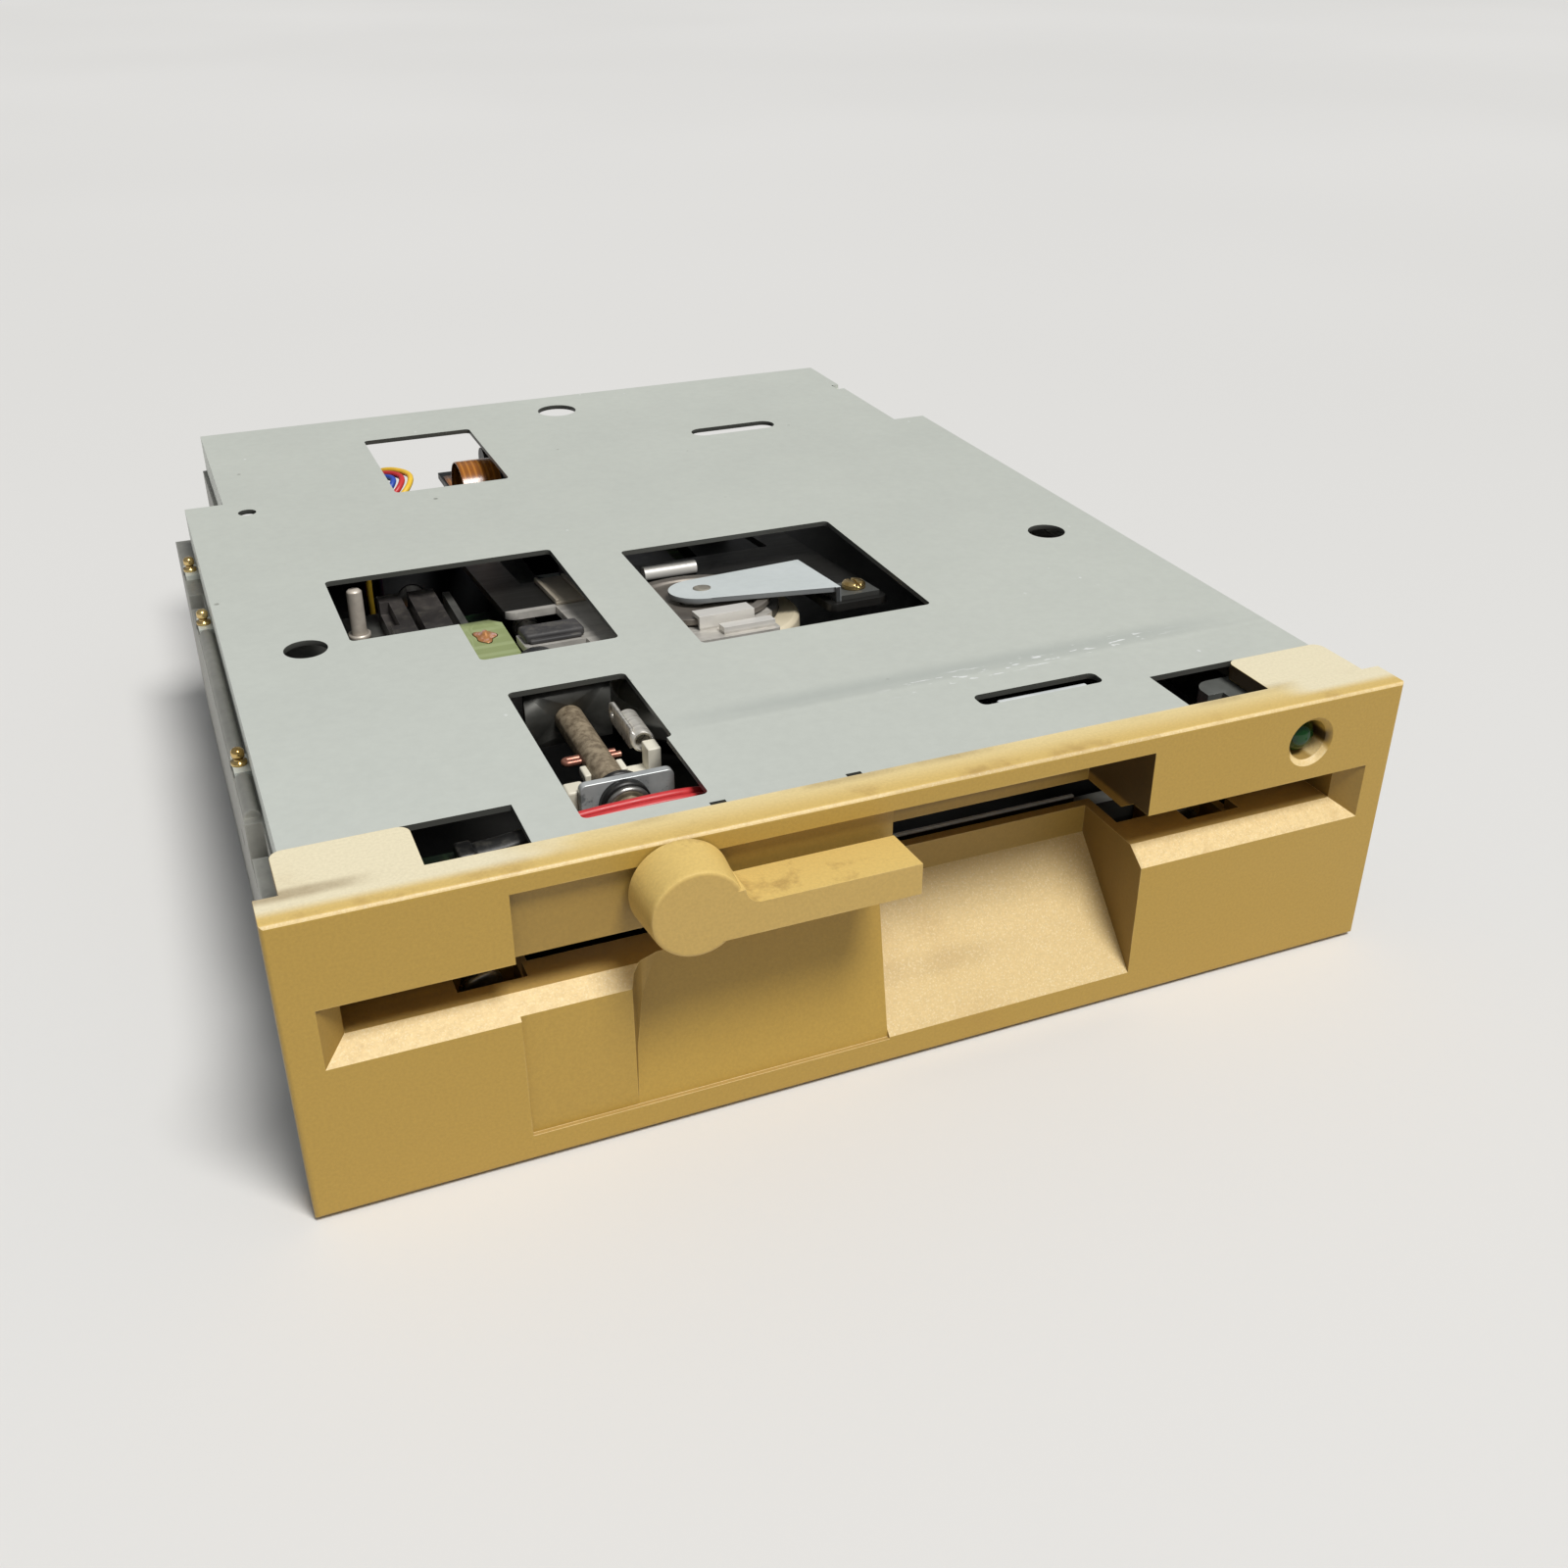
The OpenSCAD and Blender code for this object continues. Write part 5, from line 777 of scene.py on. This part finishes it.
LOOKS = {
    "front_bezel": "bezel", "lever_knob": "lever", "top_plate": "plate", "clamp_leaf": "leaf", "chassis": "cast",
    "lever_shaft": "shaft", "lever_crank": "white", "crank_clip": "bright", "shaft_washer": "black",
    "lift_cam": "black", "lever_bracket": "zinc", "shaft_bush": "steel", "bush_ring": "black", "lever_pin": "copper",
    "shaft_hanger": "hanger", "led_lens": "lens", "led_holder": "smoke", "led_wires": "red",
    "front_board": "front_board", "board_bracket": "zinc", "bezel_screws": "steel", "side_studs": "brass",
    "disk_guide_left": "black", "disk_guide_right": "black", "guide_screws": "dark_steel", "sensor_shelf": "shelf",
    "index_holder": "sensor", "index_board": "index_board", "index_post": "post", "write_sensor": "black",
    "clamp_carrier": "carrier", "leaf_rivet": "rivet", "clamp_screw": "brass", "pivot_pins": "steel",
    "clamp_hub": "hub", "hub_button": "steel", "spindle_hub": "cast_part", "spindle_shaft": "steel",
    "bearing_housing": "cast_part", "spindle_bearings": "steel", "rotor": "zinc", "rotor_magnet": "magnet",
    "motor_board": "board", "motor_coils": "copper", "head_carriage": "carriage", "lower_head": "ceramic",
    "arm_pin": "steel", "upper_arm": "carriage", "upper_head": "ceramic", "guide_rods": "bright",
    "lead_screw": "steel", "stepper_motor": "can", "stepper_wires": "blue", "head_flex": "film",
    "track_sensor": "black", "main_board": "board", "card_contacts": "gold", "board_chips": "chip",
    "power_header": "white", "power_pins": "tin",
}

for lead in light_leads:
    lead.data.materials.append(M["red"])
for lead, look in zip(stepper_leads, ("blue", "red", "yellow")):
    lead.data.materials.append(M[look])


# Pieces that the solids leave to the scene

CLAMP_PIVOT = drive(0, CLAMP_Y, CLAMP_Z)
CLAMP_SWING = Matrix.Rotation(-CLAMP_TILT, 4, "X")
CLAMP_OPEN = Matrix.Translation(CLAMP_PIVOT) @ CLAMP_SWING @ Matrix.Translation(-CLAMP_PIVOT)
# Height in millimetres at which legs and wires meet the main board
BOARD_Z = 4.55


def add_block(bm, x, y, z, soft, segments=2):
    """A block between limits in millimetres of the drive frame, with softened edges."""
    made = bmesh.ops.create_cube(bm, size=1.0)
    low, high = drive(x[0], y[0], z[0]), drive(x[1], y[1], z[1])
    for v in made["verts"]:
        v.co = Vector([low[i] + (v.co[i] + 0.5) * (high[i] - low[i]) for i in range(3)])
    edges = list({e for v in made["verts"] for e in v.link_edges})
    bmesh.ops.bevel(bm, geom=edges, offset=soft * MM, segments=segments, profile=0.5, affect="EDGES",
                    clamp_overlap=True)


def circle(count):
    return [(math.cos(2 * math.pi * k / count), math.sin(2 * math.pi * k / count)) for k in range(count)]


def arc(stop, step):
    """Cosines and sines from 0 up to an angle in degrees."""
    return [(math.cos(math.radians(a)), math.sin(math.radians(a))) for a in range(0, stop + 1, step)]


def skin_rings(bm, rings):
    """A closed skin over rings of points, with a face at each end."""
    count = len(rings[0])
    for a, b in zip(rings, rings[1:]):
        for k in range(count):
            bm.faces.new((a[k], a[(k + 1) % count], b[(k + 1) % count], b[k]))
    bm.faces.new(list(reversed(rings[0])))
    bm.faces.new(rings[-1])


def make_piece(name, bm, look, body, matrix=None):
    """A smooth shaded piece from a mesh, riding on a body."""
    if matrix is not None:
        bmesh.ops.transform(bm, matrix=matrix, verts=bm.verts)
    bmesh.ops.recalc_face_normals(bm, faces=bm.faces)
    for face in bm.faces:
        face.smooth = True
    mesh = bpy.data.meshes.new(name)
    bm.to_mesh(mesh)
    bm.free()
    obj = bpy.data.objects.new(name, mesh)
    scene.collection.objects.link(obj)
    mesh.materials.append(M[look])
    normal = obj.modifiers.new("normal", "WEIGHTED_NORMAL")
    normal.keep_sharp = True
    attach(obj, body)
    return obj


def make_clamp_rest():
    """Grey rest pad on the carrier's side tab, with a rounded back and a lip."""
    bm = bmesh.new()
    add_block(bm, (-28.9, -19.8), (66.9, 71.9), (28.22, 29.7), 0.55, 3)
    add_block(bm, (-28.3, -20.4), (66.4, 67.4), (28.22, 28.9), 0.25)
    make_piece("clamp_rest", bm, "rubber", "clamp", CLAMP_OPEN)


def make_side_strip():
    """Pale slide strip on the carrier's left side, with two raised edges."""
    bm = bmesh.new()
    add_block(bm, (-19.8, -14.6), (83.4, 97.6), (28.22, 28.72), 0.12)
    for x in ((-19.8, -19.2), (-15.2, -14.6)):
        add_block(bm, x, (83.6, 97.4), (28.6, 29.1), 0.15)
    make_piece("carrier_strip", bm, "stone", "clamp", CLAMP_OPEN)


def make_bracket_block():
    """Cream stop block behind the lever's bracket, with a narrower head on its foot."""
    bm = bmesh.new()
    add_block(bm, (-36.0, -33.1), (21.52, 24.8), (30.4, 36.0), 0.4, 3)
    add_block(bm, (-35.7, -33.1), (21.52, 24.3), (35.2, 37.0), 0.4, 3)
    make_piece("bracket_stop", bm, "white", "drive")


def make_lever_pin():
    """Split pin through the shaft, bent round at its closed end."""
    left, right = LEVER_X - 3.6, LEVER_X + 3.4
    near, far, bend = 32.4, 33.4, 0.5
    points = [(right, near), (right - 2.2, near), (left + 0.6, near)]
    points += [(left - bend * s, near + bend - bend * c) for c, s in arc(180, 15)]
    points += [(left + 0.6, far), (right - 2.2, far), (right - 0.5, far)]
    obj = tube_curve("split_pin", [drive(x, y, LEVER_Z) for x, y in points], 0.45 * MM)
    obj.data.materials.append(M["copper"])
    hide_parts("lever_pin")
    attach(obj, "lever")


def make_sleeve():
    """Black sleeve over the light's two leads, where they come to the front board."""
    bm = bmesh.new()
    line = [(-41.5, 13.71, 37.75, 0.9), (-43, 13.67, 37.58, 1.0), (-45, 13.62, 37.33, 1.0), (-46, 13.6, 37.2, 1.0),
            (-47, 13.6, 37.12, 1.0), (-49, 13.6, 37.0, 1.0), (-49.9, 13.6, 36.85, 0.92)]
    half_width, half_height = 1.55, 0.8
    skin_rings(bm, [[bm.verts.new(drive(x, y - LEAD_STEP / 2 + half_width * size * c, z + half_height * size * s))
                     for c, s in circle(20)] for x, y, z, size in line])
    add_block(bm, (-51.4, -49.3), (11.1, 14.6), (35.53, 37.75), 0.4, 3)
    make_piece("lead_sleeve", bm, "black", "drive")


def make_slot_lip():
    """Rolled lip along the front edge of the plate's narrow slot."""
    bm = bmesh.new()
    add_block(bm, (21.6, 35.2), (16.37, 17.3), (39.9, 40.72), 0.3, 3)
    add_block(bm, (22.4, 34.4), (16.37, 16.9), (38.5, 40.2), 0.15)
    make_piece("slot_lip", bm, "leaf_plain", "drive")


def make_slot_rail():
    """Thin strip on the frame's front wall, whose top edge shows over the finger notch."""
    bm = bmesh.new()
    add_block(bm, NOTCH_X, (17.5, 18.1), (21.82, 23.05), 0.12)
    for x in (1.0, 17.0, 33.0):
        add_block(bm, (x - 1.2, x + 1.2), (18.08, 18.5), (21.82, 22.4), 0.1)
    make_piece("slot_rail", bm, "rail", "drive")


def make_solder():
    """A pulled solder joint and its pad on the index board."""
    bm = bmesh.new()
    mid_x, mid_y, base = -33.3, 74.6, 35.49
    squeeze, around = 0.72, 28
    # Radius, height and how uneven the ring is
    profile = [(2.3, 0.0, 1.0), (2.0, 0.14, 1.0), (1.3, 0.3, 1.0), (0.7, 0.62, 0.3), (0.42, 0.95, 0.3)]
    rings = []
    for radius, height, uneven in profile:
        ring = []
        for i in range(around):
            a = 2 * math.pi * i / around
            reach = radius * (1.0 + (0.16 * math.sin(3 * a + 0.7) + 0.1 * math.sin(5 * a + 2.1)) * uneven)
            ring.append(bm.verts.new(drive(mid_x + squeeze * reach * math.cos(a), mid_y + reach * math.sin(a),
                                           base + height)))
        rings.append(ring)
    skin_rings(bm, rings)
    make_piece("index_solder", bm, "solder", "drive")


def make_flex():
    """The heads' flexible circuit: one thin arched film with a soft turn into its flat tail."""
    mid_y, mid_z, radius, base = 152.5, 30.375, 6.45, 29.53
    turn, half_thick, thin_edge = 0.75, 0.14, 0.55
    across = [-20.15, -20.0, -18.2, -16.4, -14.6, -12.85, -12.7]
    line = [(mid_y - radius, base), (mid_y - radius, 30.0)]
    line += [(mid_y - radius * c, mid_z + radius * s) for c, s in arc(180, 6)]
    line += [(mid_y + radius + turn - turn * c, base + turn - turn * s) for c, s in arc(90, 15)]
    line += [(162.5, base), (165.0, base + 0.02), (167.6, base)]
    bm = bmesh.new()
    rows = []
    for i, (y, z) in enumerate(line):
        a, b = line[max(i - 1, 0)], line[min(i + 1, len(line) - 1)]
        dy, dz = b[0] - a[0], b[1] - a[1]
        size = math.hypot(dy, dz)
        ny, nz = -dz / size, dy / size
        top, low = [], []
        for x in across:
            t = half_thick * (thin_edge if x in (across[0], across[-1]) else 1.0)
            top.append(bm.verts.new(drive(x, y + ny * t, z + nz * t)))
            low.append(bm.verts.new(drive(x, y - ny * t, z - nz * t)))
        rows.append(top + list(reversed(low)))
    skin_rings(bm, rows)
    obj = make_piece("heads_flex", bm, "film", "carriage")
    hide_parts("head_flex")


# Left front corner of each chip's case on the main board, in millimetres
CHIPS = [(-50, 122), (-50, 130.5), (26, 122), (26, 140), (-22, 111), (8, 178), (-14, 178)]
CHIP_DEPTH = 6.6
LEG_PITCH = 2.54


def make_chip_legs():
    """Tinned legs of the chips, bent out from the case and down to the board."""
    bm = bmesh.new()
    for cx, cy in CHIPS:
        for i in range(7):
            x = cx + 2.13 + i * LEG_PITCH
            for side, edge in ((-1, cy), (1, cy + CHIP_DEPTH)):
                out = edge + side * 0.75
                add_block(bm, (x - 0.65, x + 0.65), sorted((edge - side * 0.2, out)), (6.1, 6.45), 0.08, 1)
                add_block(bm, (x - 0.25, x + 0.25), (out - 0.15, out + 0.15), (BOARD_Z, 6.3), 0.08, 1)
    make_piece("chip_legs", bm, "tin", "drive")


# Left end of each resistor's axis on the main board, in steps of the bands' repeat and in millimetres
RESISTORS = [(-6, 140.0), (-6, 143.5), (3, 131.0), (3, 134.5), (6, 150.0), (6, 153.5)]


def make_resistors():
    """Small banded resistors lying on the main board."""
    axis_z, wire_r = 5.68, 0.28
    profile = [(0.0, wire_r), (1.1, wire_r), (1.12, 0.75), (1.4, 1.0), (2.0, 1.02), (2.5, 0.86), (5.1, 0.86),
               (5.6, 1.02), (6.2, 1.0), (6.48, 0.75), (6.5, wire_r), (7.6, wire_r)]
    bm = bmesh.new()
    for step, ry in RESISTORS:
        rx = step * BAND_REPEAT
        skin_rings(bm, [[bm.verts.new(drive(rx + along, ry + radius * c, axis_z + radius * s)) for c, s in circle(14)]
                        for along, radius in profile])
        for end in (rx + 0.15, rx + 7.45):
            add_block(bm, (end - wire_r, end + wire_r), (ry - wire_r, ry + wire_r), (BOARD_Z, 5.9), 0.1, 1)
    make_piece("board_resistors", bm, "resistor", "drive")


make_clamp_rest()
make_side_strip()
make_bracket_block()
make_lever_pin()
make_sleeve()
make_slot_lip()
make_slot_rail()
make_solder()
make_flex()
make_chip_legs()
make_resistors()


# Softened edges, in millimetres
EDGES = {
    "front_bezel": 0.35, "lever_knob": 0.5, "top_plate": 0.15, "chassis": 0.4, "clamp_leaf": 0.12,
    "clamp_carrier": 0.15, "lever_crank": 0.25, "led_holder": 0.3, "lever_bracket": 0.15, "index_holder": 0.2,
    "head_carriage": 0.3, "upper_arm": 0.3, "power_header": 0.2, "board_chips": 0.15, "spindle_hub": 0.2,
    "clamp_hub": 0.2, "disk_guide_left": 0.25, "disk_guide_right": 0.25, "sensor_shelf": 0.15, "board_bracket": 0.15,
}
# Points closer than this in metres are one point, and edges sharper than this are softened
WELD_REACH = 0.000002
SHARP = math.radians(30)


def dress(node, look):
    """Gives a CAD node its material, and softened edges where they show."""
    obj = nodes[node]
    obj.data.materials.clear()
    obj.data.materials.append(M[look])
    for face in obj.data.polygons:
        face.use_smooth = True
    weld = obj.modifiers.new("weld", "WELD")
    weld.merge_threshold = WELD_REACH
    if node in EDGES:
        flat = obj.modifiers.new("flat", "DECIMATE")
        flat.decimate_type = "DISSOLVE"
        flat.angle_limit = math.radians(1.0)
        soft = obj.modifiers.new("soft", "BEVEL")
        soft.width = EDGES[node] * MM
        soft.segments = 2
        soft.limit_method = "ANGLE"
        soft.angle_limit = SHARP
        soft.use_clamp_overlap = True
    normal = obj.modifiers.new("normal", "WEIGHTED_NORMAL")
    normal.keep_sharp = True


for node_name, look_name in LOOKS.items():
    dress(node_name, look_name)
